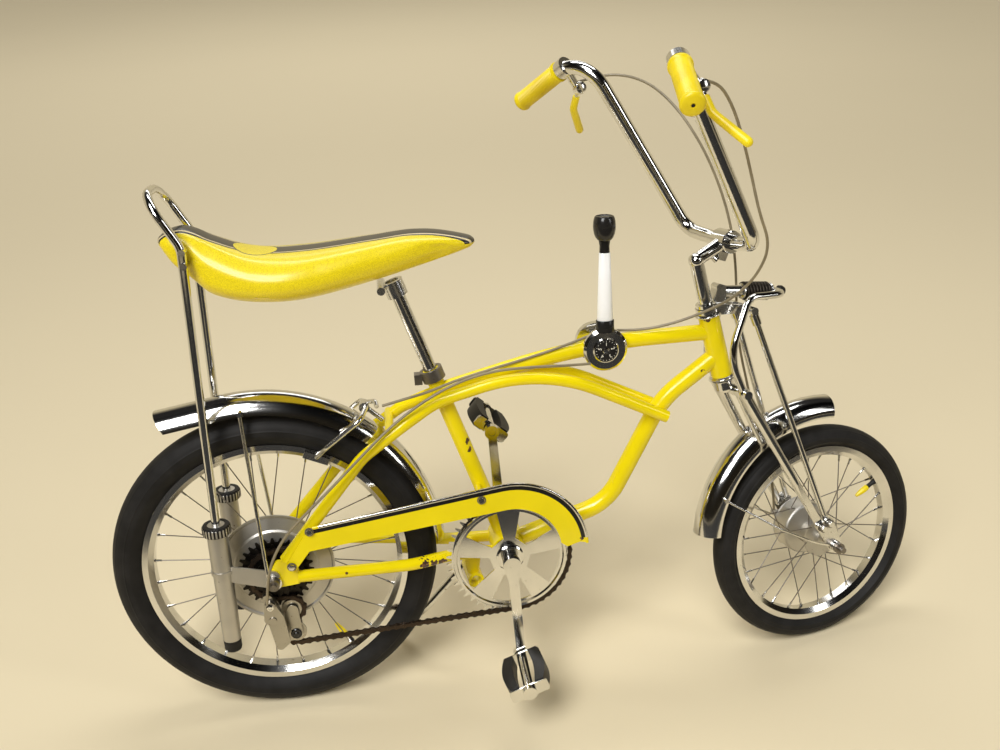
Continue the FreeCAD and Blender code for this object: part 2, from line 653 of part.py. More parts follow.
def spokes(centre, count, flanges, rim_radius, cross):
    """Laced spokes as thin bars from both flanges to the rim."""
    solids = []
    for index in range(count):
        side = -1 if index % 2 else 1
        lay = 1 if (index // 2) % 2 else -1
        rim_turn = 2 * math.pi * (index + 0.5) / count
        hub_turn = rim_turn + lay * cross
        flange, offset = flanges[0 if side < 0 else 1]
        start_y = side * offset + lay * 3.2
        start = centre + V(flange * math.cos(hub_turn), start_y, flange * math.sin(hub_turn))
        end = centre + V(rim_radius * math.cos(rim_turn), side * 3, rim_radius * math.sin(rim_turn))
        solids.append(Part.makeCylinder(0.9, (end - start).Length, start, end - start))
    return Part.makeCompound(solids)


# Radius and offset of the spoke holes on the right and the left flange
REAR_FLANGES = ((21.0, 21.8), (21.0, 29.5))
rear_spokes = spokes(V(), 28, REAR_FLANGES, size("rear_rim_radius") - 17.3, 1.0)
finish(feature("RearSpokes", rear_spokes), "rear_spokes")


# Axle with its nuts
axle = Part.makeCylinder(4.8, 2 * HALF + 52, V(0, -HALF - 26, 0), LEFT)
for side in (-1, 1):
    axle = axle.fuse(Part.makeCylinder(9, 9, V(0, side * (HALF + 17.2) - 4.5, 0), LEFT))
axle = axle.fuse(Part.makeCylinder(8, 12, V(0, 47.7, 0), LEFT))
finish(feature("RearAxle", axle), "rear_axle")

# Freewheel: five toothed cogs on one sleeve, small to large from the outside in
CHAIN_Y = -size("chain_line")
PITCH = size("chain_pitch")
COG_TEETH = (14, 17, 20, 24, 28)
COG_STEP = 5.0
CHAIN_COG = 2


def pitch_radius(teeth):
    return PITCH / 2 / math.sin(math.pi / teeth)


def toothed(centre, teeth, thickness, bore):
    """Sprocket with four-sided teeth."""
    radius = pitch_radius(teeth)
    rim_line = []
    for index in range(teeth):
        for share, reach in ((-0.30, -4.2), (-0.10, 2.6), (0.10, 2.6), (0.30, -4.2)):
            turn = 2 * math.pi * (index + share) / teeth
            rim_line.append(centre + V(math.cos(turn), 0, math.sin(turn)) * (radius + reach))
    face = Part.Face(Part.makePolygon(rim_line + [rim_line[0]]))
    cog = face.extrude(V(0, thickness, 0))
    cog.translate(V(0, -thickness / 2, 0))
    return cog.cut(pin(centre, bore, centre.y - thickness, centre.y + thickness))


sleeve = ((AXLE_CLEAR, -58.5), (16, -58.5), (20, -55), (26, -33), (26, -32), (AXLE_CLEAR, -32))
freewheel = turned("FreewheelSleeve", sleeve, V()).Shape.copy()
for index, teeth in enumerate(COG_TEETH):
    cog_y = CHAIN_Y + COG_STEP * (index - CHAIN_COG)
    if index == CHAIN_COG:
        cog = disc(V(0, cog_y, 0), LEFT, pitch_radius(teeth) - 4.6, 1.8, 12)
    else:
        cog = toothed(V(0, cog_y, 0), teeth, 1.8, 12)
    freewheel = freewheel.fuse(cog)
finish(feature("Freewheel", freewheel), "freewheel")

# Crank set: a one-piece crank, the chain ring and two block pedals
RING_R = pitch_radius(size("ring_teeth"))
CRANK_TURN = math.radians(-87)
ARM = size("arm_length")
ARM_Y = 75.5
ARM_THICK = 12.0
ARM_OUT = V(math.cos(CRANK_TURN), 0, math.sin(CRANK_TURN))
PEDAL_RIGHT = CRANK + ARM_OUT * ARM
PEDAL_LEFT = CRANK - ARM_OUT * ARM
# Crank outline along the arm: distance, radius
BOSS = ((0, 14), (30, 7.5))
SHANK = ((8, 8.5), (ARM, 7.0))
crank = pin(CRANK, 11, -ARM_Y, ARM_Y)
for side, end in ((-1, PEDAL_RIGHT), (1, PEDAL_LEFT)):
    low = side * ARM_Y - ARM_THICK / 2
    for shape_rows in (BOSS, SHANK):
        circles = [((CRANK - ARM_OUT * (side * along)).x, (CRANK - ARM_OUT * (side * along)).z, radius)
                   for along, radius in shape_rows]
        crank = crank.fuse(plate_round(circles, low, low + ARM_THICK))
    crank = crank.fuse(pin(end, 12, low, low + ARM_THICK))
    crank = crank.cut(pin(end, 6.2, low - 5, low + ARM_THICK + 5))
finish(feature("Crank", crank), "crank")

# Chain ring: a dished five-spoke disc with a rolled rim, behind it the toothed ring
RING_ROWS = ((11.4, -10), (20, -10), (22, -8.5), (22, -6), (84, -5), (86, -8), (90, -8), (91, -7), (91, -0.9),
             (at("chain_pitch", RING_R + 4.0 - PITCH), -0.9), (at("chain_pitch", RING_R + 4.0 - PITCH), 0.9),
             (84, 0.9), (84, -3), (22, -3.6), (11.4, -3.6))
ring = turned("ChainRing", RING_ROWS, CRANK + V(0, CHAIN_Y, 0))
# One window: radius and angle of its corners, half the angle at the inner and the outer edge
WINDOW_LOW, WINDOW_HIGH = 33.0, 80.0
WINDOW_TURN = math.radians(54)


def polar(radius, turn):
    """Point of a wheel's face in its own sketch; the angle is seen from the right."""
    return radius * math.cos(turn), -radius * math.sin(turn)


window = [polar(radius, WINDOW_TURN + math.radians(sign * half))
          for radius, half, sign in ((WINDOW_LOW, 20, 1), (WINDOW_HIGH, 23, 1), (WINDOW_HIGH, 23, -1),
                                     (WINDOW_LOW, 20, -1))]
window[1] = window[1] + (WINDOW_HIGH * (1 - math.cos(math.radians(23))),)
holes = cut_through(ring, "SpokeWindow", window, "XY_Plane")
TOOTH_LOW, TOOTH_HIGH = RING_R - 4.2, RING_R + 6.0
GAP = ((TOOTH_LOW, -3.2), (TOOTH_HIGH, -6.3), (TOOTH_HIGH, 6.3), (TOOTH_LOW, 3.2))
gap = cut_through(ring, "ToothGap", GAP, "XY_Plane")
for name, feature_cut, count in (("SpokeWindows", holes, "5"), ("ToothGaps", gap, "Dimensions.ring_teeth")):
    pattern = ring.newObject("PartDesign::PolarPattern", name)
    pattern.Originals = [feature_cut]
    pattern.Axis = (ring.Group[0], ["V_Axis"])
    pattern.Angle = 360
    pattern.setExpression("Occurrences", count)
    ring.Tip = pattern
doc.recompute()
finish(ring, "chain_ring")


def pedal(centre, side, tilt):
    """Block pedal: spindle, barrel, end plates and two bowed rubber blocks."""
    inner, outer = ARM_Y + 11.5, ARM_Y + 98.0
    frame = pin(centre, 6, *sorted((side * (ARM_Y - 5), side * (ARM_Y + 20))))
    frame = frame.fuse(pin(centre, 8, *sorted((side * (inner - 1), side * (outer + 5)))))
    frame = frame.fuse(pin(centre, 11, *sorted((side * outer, side * (outer + 9)))))
    plate = [(centre.x + x, centre.z + z, 5) for x, z in ((-26, -5), (26, -5), (26, 5), (-26, 5))]
    for depth in (inner, outer):
        frame = frame.fuse(plate_round(plate, side * depth - 1.5, side * depth + 1.5))
    blocks = []
    for fore in (-1, 1):
        corners = [V(centre.x + fore * x, side * y, centre.z - 12)
                   for x, y in ((13, inner + 2), (27, inner + 2), (35, (inner + outer) / 2), (27, outer - 2),
                                (13, outer - 2), (17, (inner + outer) / 2))]
        bow = Part.Arc(corners[1], corners[2], corners[3]).toShape()
        hollow = Part.Arc(corners[4], corners[5], corners[0]).toShape()
        wire = Part.Wire([Part.LineSegment(corners[0], corners[1]).toShape(), bow,
                          Part.LineSegment(corners[3], corners[4]).toShape(), hollow])
        blocks.append(Part.Face(wire).extrude(V(0, 0, 24)))
    rubber = Part.makeCompound(blocks)
    frame.rotate(centre, LEFT, tilt)
    rubber.rotate(centre, LEFT, tilt)
    return frame, rubber


for side, name, centre, tilt in ((-1, "right", PEDAL_RIGHT, -20), (1, "left", PEDAL_LEFT, 40)):
    frame, rubber = pedal(centre, side, tilt)
    finish(feature("PedalFrame" + name.capitalize(), frame), "pedal_frame_" + name)
    finish(feature("PedalBlocks" + name.capitalize(), rubber), "pedal_blocks_" + name)

# Bottom bracket cups that close the shell
cups = Part.makeCompound([disc(CRANK + V(0, side * (size("shell_width") / 2 - 3), 0), LEFT,
                               size("shell_diameter") / 2 - 3, 6, 11.3) for side in (-1, 1)])
finish(feature("BottomBracketCups", cups), "bottom_bracket_cups")

# Chain: closed route over the ring, the tension wheel, the guide wheel and the middle cog.
# Each wheel: centre, radius, and -1 where the chain turns clockwise seen from the right
JOCKEY_R = pitch_radius(10)
COG_R = pitch_radius(COG_TEETH[CHAIN_COG])
GUIDE_WHEEL = V(18, CHAIN_Y, -62)
TENSION_WHEEL = V(22, CHAIN_Y, -104)
WHEELS = ((CRANK + V(0, CHAIN_Y, 0), RING_R, -1), (TENSION_WHEEL, JOCKEY_R, -1), (GUIDE_WHEEL, JOCKEY_R, 1),
          (V(0, CHAIN_Y, 0), COG_R, -1))
CHAIN_WIDTH = 7.0
CHAIN_HALF = 4.0


def chain_wire(outward):
    """Closed chain route, moved outward from the pitch line."""
    headings = []
    count = len(WHEELS)
    for index in range(count):
        here, here_r, here_hand = WHEELS[index]
        there, there_r, there_hand = WHEELS[(index + 1) % count]
        gap = there - here
        shift = there_hand * (there_r - there_hand * outward) - here_hand * (here_r - here_hand * outward)
        headings.append(math.atan2(gap.z, gap.x) - math.asin(shift / gap.Length))
    edges = []
    for index in range(count):
        centre, radius, hand = WHEELS[index]
        radius = radius - hand * outward
        arrive = headings[index - 1] - hand * math.pi / 2
        leave = headings[index] - hand * math.pi / 2
        while hand * (leave - arrive) < 0:
            leave += hand * 2 * math.pi
        points = [centre + V(math.cos(turn), 0, math.sin(turn)) * radius
                  for turn in (arrive, (arrive + leave) / 2, leave)]
        edges.append(Part.Arc(*points).toShape())
        if index:
            edges.append(Part.LineSegment(last, points[0]).toShape())
        else:
            first = points[0]
        last = points[2]
    edges.append(Part.LineSegment(last, first).toShape())
    return Part.Wire(Part.__sortEdges__(edges))


# The links' outer edge is high at each pin and low between two pins
pitch_line = chain_wire(0)
half_links = 2 * round(pitch_line.Length / PITCH)
stations = pitch_line.discretize(Number=half_links + 1)[:-1]
edge_points = []
for index, point in enumerate(stations):
    way = stations[(index + 1) % half_links] - stations[index - 1]
    outward = way.cross(LEFT).normalize()
    if outward.dot(stations[0] - CRANK) < 0 and index == 0:
        raise RuntimeError("the chain runs the wrong way round")
    edge_points.append(point + outward * (CHAIN_HALF if index % 2 else CHAIN_HALF - 1.4))
chain = Part.Face(Part.makePolygon(edge_points + [edge_points[0]])).cut(Part.Face(chain_wire(-CHAIN_HALF)))
chain = chain.extrude(V(0, CHAIN_WIDTH, 0))
chain.translate(V(0, -CHAIN_WIDTH / 2, 0))
# The ring's teeth turn between the side plates
TOOTH_SLOT = 2.6
chain = chain.cut(disc(CRANK + V(0, CHAIN_Y, 0), LEFT, RING_R + 5.5, TOOTH_SLOT))
finish(feature("Chain", largest(chain)), "chain")

# Rear derailleur: knuckle and body plates, cage plates and two jockey wheels, hung from the dropout
jockeys = []
for wheel in (GUIDE_WHEEL, TENSION_WHEEL):
    jockeys.append(disc(wheel, LEFT, JOCKEY_R - CHAIN_HALF - 0.6, 5, 3.1))
CAGE = [(20, -62, 9), (-2, -112, 6), (24, -106, 9)]
cage = None
for depth in (CHAIN_Y - 7, CHAIN_Y + 5.5):
    side_plate = plate_round(CAGE, depth, depth + 1.5)
    cage = side_plate if cage is None else cage.fuse(side_plate)
for wheel in (GUIDE_WHEEL, TENSION_WHEEL):
    cage = cage.fuse(pin(wheel, 2.9, CHAIN_Y - 7, CHAIN_Y + 7))
derailleur = plate_round([(-13, -26, 8), (2, -20, 8), (-6, -46, 10)], -HALF - 15, -HALF - 6.3)
derailleur = derailleur.fuse(pin(V(-9, 0, -36), 8, -82, -62)).fuse(pin(V(-8, 0, -62), 6, -80, -54))
derailleur = derailleur.fuse(plate_round([(-10, -38, 9), (-12, -60, 9), (0, -58, 9)], -78, -68))
derailleur = derailleur.fuse(plate_round([(-10, -60, 8), (-2, -112, 7), (6, -104, 8), (0, -58, 8)], -72, -69))
derailleur = derailleur.fuse(pin(V(0, 0, -108), 5, -72, -52)).fuse(cage)
derailleur = derailleur.cut(chain).cut(dropout).cut(strut_right).cut(fender_stay).cut(freewheel)
derailleur = largest(derailleur.cut(pin(V(), 9.5, -120, -HALF)))
finish(feature("Derailleur", Part.makeCompound([derailleur] + jockeys)), "derailleur")

# Control cables. Points are chosen by hand along each cable's way.
CABLE = size("cable_diameter")


def cable(name, points):
    """Housing of a control cable: straight runs with the widest tangent arcs that fit."""
    bends = []
    for index in range(1, len(points) - 1):
        back = points[index - 1] - points[index]
        out = points[index + 1] - points[index]
        turn = math.pi - back.getAngle(out)
        bends.append(0.45 * min(back.Length, out.Length) / math.tan(turn / 2))
    print("cable", name, "bend radii", " ".join("%.0f" % bend for bend in bends))
    runs = [(points[index + 1] - points[index]).Length for index in range(len(points) - 1)]
    print("cable", name, "runs", " ".join("%.0f" % run for run in runs))
    shape = pipe(points, bends, CABLE)
    line = route(points, bends)
    section_area = math.pi * CABLE ** 2 / 4
    print("cable", name, "length %.0f" % line.Length, "volume ratio %.4f" % (shape.Volume / line.Length / section_area))
    return shape


def unsteered(point):
    """Place in the frame group of a point of the fork group, as the bicycle stands."""
    return STEER.multVec(point)


# Rear brake: from the right lever round ahead of the handlebar, back past the head and along the top tube
REAR_CABLE = [unsteered(V(566, -190, 712)), unsteered(V(600, -181, 712)), unsteered(V(634, -165, 680)),
              unsteered(V(664, -146, 630)), unsteered(V(692, -124, 578)), V(730, -114, 536), V(755, -98, 484),
              V(746, -76, 436), V(720, -54, 398), V(680, -36, 373), V(634, -22, 354), V(588, -8, 343),
              V(532, 0, 345.5), V(474, -10, 329), V(412, -12, 313), V(352, -17, 301), V(300, -20, 289),
              V(258, -26, 276), V(218, -32, 269), V(186, -33, 262)]
rear_cable = cable("rear_brake_cable", REAR_CABLE)
FRONT_CABLE = [V(566, 190, 712), V(604, 184, 722), V(640, 160, 722), V(668, 122, 706), V(692, 82, 668), V(716, 50, 612),
               V(738, 36, 552), V(757, 34, 492), V(770, 40, 436), V(777, 46, 380), V(780, 50, 326), V(790, 52, 270),
               V(803, 51, 216), V(815, 50, 160), V(833, 48, 104), V(848, 46, 56), V(855, 45.5, 14), V(859, 48.5, -22)]
front_cable = cable("front_brake_cable", FRONT_CABLE)
SHIFT_CABLE = [V(506, -28, 302), V(462, -34, 304), V(410, -37, 307), V(352, -36, 305), V(296, -37, 290), V(242, -45, 265),
               V(194, -55, 234), V(150, -64, 196), V(108, -72, 158), V(66, -80, 122), V(28, -86, 88), V(4, -89, 50),
               V(-8, -89, 10), V(-12, -86, -26)]
shift_cable = cable("shift_cable", SHIFT_CABLE)
finish(feature("ShiftCable", shift_cable), "shift_cable")
finish(feature("RearBrakeCable", rear_cable), "rear_brake_cable")
finish(feature("FrontBrakeCable", front_cable), "front_brake_cable", True)

# Chain guard: a long plate that arches over the ring, with a rolled upper edge.
# It is drawn flat in the side view and turned to run outside the cantilever tube at the rear.
GUARD_CENTRE = V(372, 0, 8)
GUARD_R = size("guard_radius")
GUARD_INNER = 78.0
GUARD_TAIL = V(64, 0, 88)
GUARD_FOOT = V(59, 0, 50)
GUARD_REAR = V(30, -73.5, 28)
GUARD_FRONT = V(490, -60, 10)
GUARD_ENDS = (3.0, 8.0)


def tangent_angle(point, radius):
    """Angle on the guard's arch where a line from a point behind it touches."""
    run = GUARD_CENTRE - point
    return math.atan2(run.z, run.x) + math.asin(radius / math.hypot(run.x, run.z)) + math.pi / 2


def on_arch(radius, turn):
    return GUARD_CENTRE.x + radius * math.cos(turn), GUARD_CENTRE.z + radius * math.sin(turn)


top_turn = tangent_angle(GUARD_TAIL, GUARD_R)
low_turn = tangent_angle(GUARD_FOOT, GUARD_INNER)
top_end, low_end = (math.radians(angle) for angle in GUARD_ENDS)
GUARD_ROWS = ((GUARD_REAR.x - 6, 33), (GUARD_REAR.x - 4, 22), (GUARD_REAR.x + 6, 21), (GUARD_FOOT.x, GUARD_FOOT.z),
              on_arch(GUARD_INNER, low_turn) + (GUARD_INNER * (math.cos((low_turn - low_end) / 2) - 1),),
              on_arch(GUARD_INNER, low_end), (459, 11), (480, 17),
              on_arch(GUARD_R, top_end) + (GUARD_R * (1 - math.cos((top_turn - top_end) / 2)),),
              on_arch(GUARD_R, top_turn), (GUARD_TAIL.x, GUARD_TAIL.z), (GUARD_TAIL.x - 12, 76))
guard = slab("GuardPlate", GUARD_ROWS, -SHEET / 2, SHEET / 2)
guard_turn = math.degrees(math.atan2(GUARD_FRONT.y - GUARD_REAR.y, GUARD_FRONT.x - GUARD_REAR.x))
guard_pose = FreeCAD.Placement(V(0, GUARD_REAR.y, 0), FreeCAD.Rotation(UP, guard_turn), V(GUARD_REAR.x, 0, 0))
edge_start = V(GUARD_TAIL.x + 3, 0, GUARD_TAIL.z + 0.4)
edge_top, edge_middle, edge_end = (V(x, 0, z) for x, z in (
    on_arch(GUARD_R, top_turn), on_arch(GUARD_R, (top_turn + top_end) / 2), on_arch(GUARD_R, top_end)))
edge_line = Part.Wire([Part.LineSegment(edge_start, edge_top).toShape(),
                       Part.Arc(edge_top, edge_middle, edge_end).toShape()])
edge_ring = Part.Wire([Part.Circle(edge_start, edge_top - edge_start, 2.5).toShape()])
guard_shape = guard.Shape.fuse(edge_line.makePipeShell([edge_ring], True, False))
guard_shape.Placement = guard_pose
for bolt, reach in ((GUARD_REAR, -62), (V(62, -72.5, 84), -55), (V(326, -63, 107), -5)):
    guard_shape = guard_shape.fuse(pin(bolt, 4, bolt.y - 3, reach))
guard_shape = guard_shape.cut(dropout).cut(stay_right).cut(seat_tube_solid)
finish(feature("Guard", largest(guard_shape)), "chain_guard")

# Gear shifter on the top tube: drum, lever and knob
SHIFTER = V(530, -8, 322)
SHIFTER_ALONG = V(130, 0, 20).normalize()
DRUM_ROWS = ((0, -31), (18, -31), (20, -29), (30, -28.5), (34, -25), (34, -18), (31, -15), (0, -15))
drum = turned("ShifterDrum", DRUM_ROWS, V(SHIFTER.x, 0, SHIFTER.z)).Shape.copy()
drum = drum.fuse(pin(SHIFTER + V(-7, 0, 0), 31, 15, 27))
drum = drum.fuse(Part.makeCylinder(18, 24, SHIFTER + V(0, 8, 0.4) - SHIFTER_ALONG * 12, SHIFTER_ALONG))
drum = drum.fuse(pin(SHIFTER + V(-4, 0, -24), 5, -28, 22))
drum = drum.cut(Part.makeCylinder(TUBE / 2 + 0.8, 90, SHIFTER + V(0, 8, 0.4) - SHIFTER_ALONG * 45, SHIFTER_ALONG))
LEVER_BASE = SHIFTER + V(0, -15, 0)
# Lever: radius, height above the drum's centre
LEVER = ((0, 28), (10, 28), (10, 46), (8.5, 46), (6, 150), (5, 150), (5, 168), (0, 168))
drum = drum.fuse(turned("ShiftLever", LEVER, LEVER_BASE, UP).Shape)
finish(feature("Shifter", largest(drum.cut(shift_cable).cut(rear_cable))), "shifter")
KNOB = ((0, 168), (13, 168), (16, 172), (17, 200), (14, 204), (0, 205))
finish(turned("ShiftKnob", KNOB, LEVER_BASE, UP), "shift_knob")

# Rear rim brake on the stay bridge: two bent arms on one bolt, with their pads at the rim
BRAKE_BOLT = V(158, 0, 252)
caliper = bar(V(BRIDGE_X - 9, 0, BRIDGE_Z + 6), BRAKE_BOLT, 8)
caliper = caliper.fuse(pin(BRAKE_BOLT, 8, -9, 9))
for side in (-1, 1):
    arm_points = [V(162, side * 4, 254), V(152, side * 44, 246), V(98, side * 41, 205), V(80, side * 23, 183)]
    caliper = caliper.fuse(pipe(arm_points, [14, 12], 8))
    caliper = caliper.fuse(plate_xz(((95.6, 169), (100, 179), (63.4, 195), (59, 185)),
                                    *sorted((side * 17.4, side * 26))))
caliper = caliper.fuse(pipe([V(162, 0, 258), V(176, -20, 266), V(178, -34, 262)], [14], 7))
caliper = caliper.cut(fender_shape).cut(bridge).cut(stay_right).cut(mirrored(stay_right))
caliper = largest(caliper.cut(rear_cable))
finish(feature("RearBrake", caliper), "rear_brake")

# Head bearings: cups on the frame
STEERER = size("steerer_diameter")
CUP = ((STEERER / 2 + 0.4, 0), (17, 0), (19.5, 2, 1.0), (19.5, 5), (17, 6), (STEERER / 2 + 0.4, 6))
upper_cup = turned("UpperCup", CUP, HEAD_TOP, AXIS)
lower_cup = turned("LowerCup", CUP, HEAD_BOTTOM, -AXIS)
head_cups = doc.addObject("Part::Compound", "HeadCups")
head_cups.Links = [upper_cup, lower_cup]
finish(head_cups, "head_cups")

# Sprung fork. Column with race, crown, the raked rear blades and the loop that holds the spring
FORK_HALF = size("fork_half_width")
COLUMN_ROWS = ((11.2, -26), (16, -26), (17, -22), (17, -9), (19, -7), (STEERER / 2, -6.3),
               (STEERER / 2, size("head_length") + 17), (16, size("head_length") + 17),
               (16, size("head_length") + 22), (11.2, size("head_length") + 22))
column = turned("SteeringColumn", COLUMN_ROWS, HEAD_BOTTOM, AXIS).Shape
CROWN = V(738, 0, 234)
CROWN_HALF = 41.0
BLADE_FOOT = V(876, 58, -13)
ROD_FOOT = V(889, 55, -7)
fork = column.fuse(pin(CROWN, 9, -CROWN_HALF, CROWN_HALF))
# Loop at the column's right side: x, half width, z, bend radius at the point
LOOP = ((738, 41, 234, 0), (712, 40, 296, 80), (752, 30, 384, 22), (818, 26, 381, 18))
loop_points = [V(x, -half, z) for x, half, z, bend in LOOP] + [V(x, half, z) for x, half, z, bend in LOOP[::-1]]
loop_bends = [bend for x, half, z, bend in LOOP[1:]] + [bend for x, half, z, bend in LOOP[:0:-1]]
fork = fork.fuse(pipe(loop_points, loop_bends, 12))
for side in (-1, 1):
    shoulder = V(CROWN.x, side * CROWN_HALF, CROWN.z)
    foot = V(BLADE_FOOT.x, side * BLADE_FOOT.y, BLADE_FOOT.z)
    fork = fork.fuse(bar(shoulder, foot, 19, 13)).fuse(Part.makeSphere(9.5, shoulder))
    fork = fork.fuse(pin(CROWN, 7, *sorted((side * (CROWN_HALF + 2), side * (CROWN_HALF + 13)))))
    fork = fork.fuse(pin(BLADE_FOOT, 7.5, *sorted((side * 52.5, side * (FORK_HALF - 2.3)))))
fork = fork.cut(Part.makeCylinder(11.2, 60, HEAD_BOTTOM - AXIS * 30, AXIS))
fork = fork.common(Part.makeBox(400, 2 * FORK_HALF - 4.6, 700, V(600, 2.3 - FORK_HALF, -100)))
SPRING_START = V(724, 0, 391.9)
SPRING_END = V(833, 0, 379.7)
SPRING_ALONG = (SPRING_END - SPRING_START).normalize()
SPRING_BOLT = 4.0
fork = largest(fork.cut(bar(SPRING_START, SPRING_END, 2 * SPRING_BOLT + 0.4)).cut(front_cable))
finish(feature("Fork", fork), "fork", True)

# Rockers: rounded plates from the blade ends past the rod ends to the axle
ROCKER_CIRCLES = [(BLADE_FOOT.x, BLADE_FOOT.z, 9), (FRONT_AXLE.x, FRONT_AXLE.z, 12), (ROD_FOOT.x, ROD_FOOT.z, 9)]
rocker = slab("Rocker", round_rows(ROCKER_CIRCLES), -FORK_HALF - 2.5, 2 - FORK_HALF,
              ((FRONT_AXLE.x, FRONT_AXLE.z, 5.2),))
rocker_bolts = Part.makeCompound([pin(point, 5, -FORK_HALF - 6, -FORK_HALF - 2.5) for point in (BLADE_FOOT, ROD_FOOT)])
rocker_plate = rocker.Shape.fuse(rocker_bolts)
finish(feature("Rockers", both_sides(rocker_plate)), "rockers", True)

# Spring on its bolt: radius, distance ahead of the yoke, with ribs for the coils
COILS = 7
COIL_START, COIL_END = 34.0, 82.0
SPRING_ROWS = [(0, 0.1), (9, 0.1), (9, 30), (12, 32), (12, COIL_START)]
for coil in range(COILS):
    at_coil = COIL_START + (COIL_END - COIL_START) * coil / COILS
    SPRING_ROWS += [(13, at_coil + 0.4, 2.2), (13, at_coil + 6.4)]
SPRING_ROWS += [(12, COIL_END), (13, 84), (11, 87.5), (SPRING_BOLT, 87.5), (SPRING_BOLT, 101), (8, 101.2), (8, 106),
                (6, 110), (0, 110)]
spring = finish(turned("Spring", SPRING_ROWS, SPRING_START, SPRING_ALONG), "spring", True)

# Upper yoke: ring on the column, spring seat, and two arms down to the cross piece of the rods
ROD_TOP = V(759, 28, 362)
yoke = disc(HEAD_TOP + AXIS * 12, AXIS, 18, 8.5)
yoke = yoke.fuse(plate_xz(((700, 362), (724, 368), (724, 402), (716, 405, 4), (708, 398), (704, 380)), -9, 9))
for side in (-1, 1):
    arm = plate_round([(700, 366, 6), (ROD_TOP.x, ROD_TOP.z, 6), (704, 372, 5)], *sorted((side * 11, side * 16)))
    yoke = yoke.fuse(arm)
yoke = yoke.fuse(pin(ROD_TOP, 6, -36, 36))
yoke = yoke.cut(Part.makeCylinder(STEERER / 2 + 0.1, 120, HEAD_TOP - AXIS * 20, AXIS)).cut(fork).cut(spring.Shape)
yoke = largest(yoke.cut(Part.makeCylinder(21, 27, HEAD_TOP - AXIS * 20, AXIS)))
finish(feature("SpringYoke", yoke), "spring_yoke", True)

# Front rods from the cross piece to the rockers, with eyes at the foot
rods = []
for side in (-1, 1):
    top = V(ROD_TOP.x, side * ROD_TOP.y, ROD_TOP.z)
    foot = V(ROD_FOOT.x, side * ROD_FOOT.y, ROD_FOOT.z)
    item = bar(top, foot, 10).fuse(bar(top + (foot - top) * 0.02, top + (foot - top) * 0.06, 15))
    item = item.fuse(pin(ROD_FOOT, 6.5, *sorted((side * 50, side * (FORK_HALF - 2.3)))))
    rods.append(largest(item.cut(yoke).cut(fork)))
finish(feature("FrontRods", Part.makeCompound(rods)), "front_rods", True)

# Front axle with its nuts and spacers
FRONT_NUT = FORK_HALF + 10.2
front_axle = pin(FRONT_AXLE, 4.8, -FORK_HALF - 23.4, FORK_HALF + 23.4)
for side in (-1, 1):
    front_axle = front_axle.fuse(disc(FRONT_AXLE + V(0, side * FRONT_NUT, 0), LEFT, 9, 8))
    front_axle = front_axle.fuse(disc(FRONT_AXLE + V(0, side * (FORK_HALF - 6.7), 0), LEFT, 8, 9))
finish(feature("FrontAxle", front_axle), "front_axle", True)

# Brake plate of the front drum with its cable lever
PLATE_CENTRE = (FRONT_AXLE.x, FRONT_AXLE.z)
brake_plate = turned("BrakePlateDisc", ((5.2, 45.5), (44, 45.5), (46, 47, 1.0), (44, 49), (20, 50), (5.2, 50)),
                     FRONT_AXLE).Shape
lever_outline = [(PLATE_CENTRE[0] - 6, PLATE_CENTRE[1] - 6, 6), (PLATE_CENTRE[0] - 4, PLATE_CENTRE[1] + 6, 6),
                 (PLATE_CENTRE[0] - 46, PLATE_CENTRE[1] + 28, 5)]
brake_plate = brake_plate.fuse(plate_round(lever_outline, 47.5, 50.5))
brake_plate = largest(brake_plate.cut(pin(FRONT_AXLE, 5.2, 0, 80)).cut(front_cable))
finish(feature("BrakePlate", brake_plate), "brake_plate", True)
# Front hub with its brake drum: radius, offset to the left
FRONT_HUB = ((AXLE_CLEAR, -34), (14, -34), (14, -26.5), (34, -26), (34, -23), (18, -22), (17, -6), (18, 8),
             (40, 12, 2.0), (46, 18), (46, 44), (AXLE_CLEAR, 44))
finish(turned("FrontHub", FRONT_HUB, FRONT_AXLE), "front_hub", True)
FRONT_FLANGES = ((31.5, 24.5), (47.2, 22.0))
front_spokes = spokes(FRONT_AXLE, 28, FRONT_FLANGES, size("front_rim_radius") - 17.3, 0.7)
finish(feature("FrontSpokes", front_spokes), "front_spokes", True)
front_spin = STANCE.multVec(TURN.multVec(LEFT))
finish(tyre("FrontTyre", FRONT_AXLE, "front", front_spin), "front_tyre", True)
finish(rim("FrontRim", FRONT_AXLE, "front", 13.5), "front_rim", True)

# Front fender, its two straps to the crown and the wire stays to the axle
FRONT_FENDER_CENTRE = FRONT_AXLE + V(-8, 0, 24)
FRONT_CROWN = 222.0
FRONT_RISE = 32.0
FRONT_HALF = 27.0
front_fender = fender("FrontFender", FRONT_FENDER_CENTRE, FRONT_CROWN, FRONT_RISE, FRONT_HALF, 83, 175)
finish(front_fender, "front_fender", True)
front_fender_shape = front_fender.Shape.copy()
STAY_FOOT_Y = FORK_HALF + 4.6
stay = pipe([V(714, -29.6, 54), V(790, -64, 4), V(862, -STAY_FOOT_Y, -36), V(903, -STAY_FOOT_Y, -51.5)], [90, 60], 4)
stay = stay.fuse(pin(V(714, 0, 54), 4, -33, -20)).fuse(disc(FRONT_AXLE + V(0, -STAY_FOOT_Y, 0), LEFT, 9, 2.8))
stay = stay.common(Part.makeBox(400, 2 * STAY_FOOT_Y + 2.8, 400, V(600, -STAY_FOOT_Y - 1.4, -200)))
stay = largest(stay.cut(front_fender_shape).cut(pin(FRONT_AXLE, 5.2, -90, 0)))
strap = pipe([V(738, -25, 226), V(752, -25, 196), V(784, -22, 134)], [50], 8).cut(front_fender_shape)
strap = max(strap.Solids, key=lambda item: item.BoundBox.ZMax)
strap = strap.cut(pin(CROWN, 9, -60, 60))
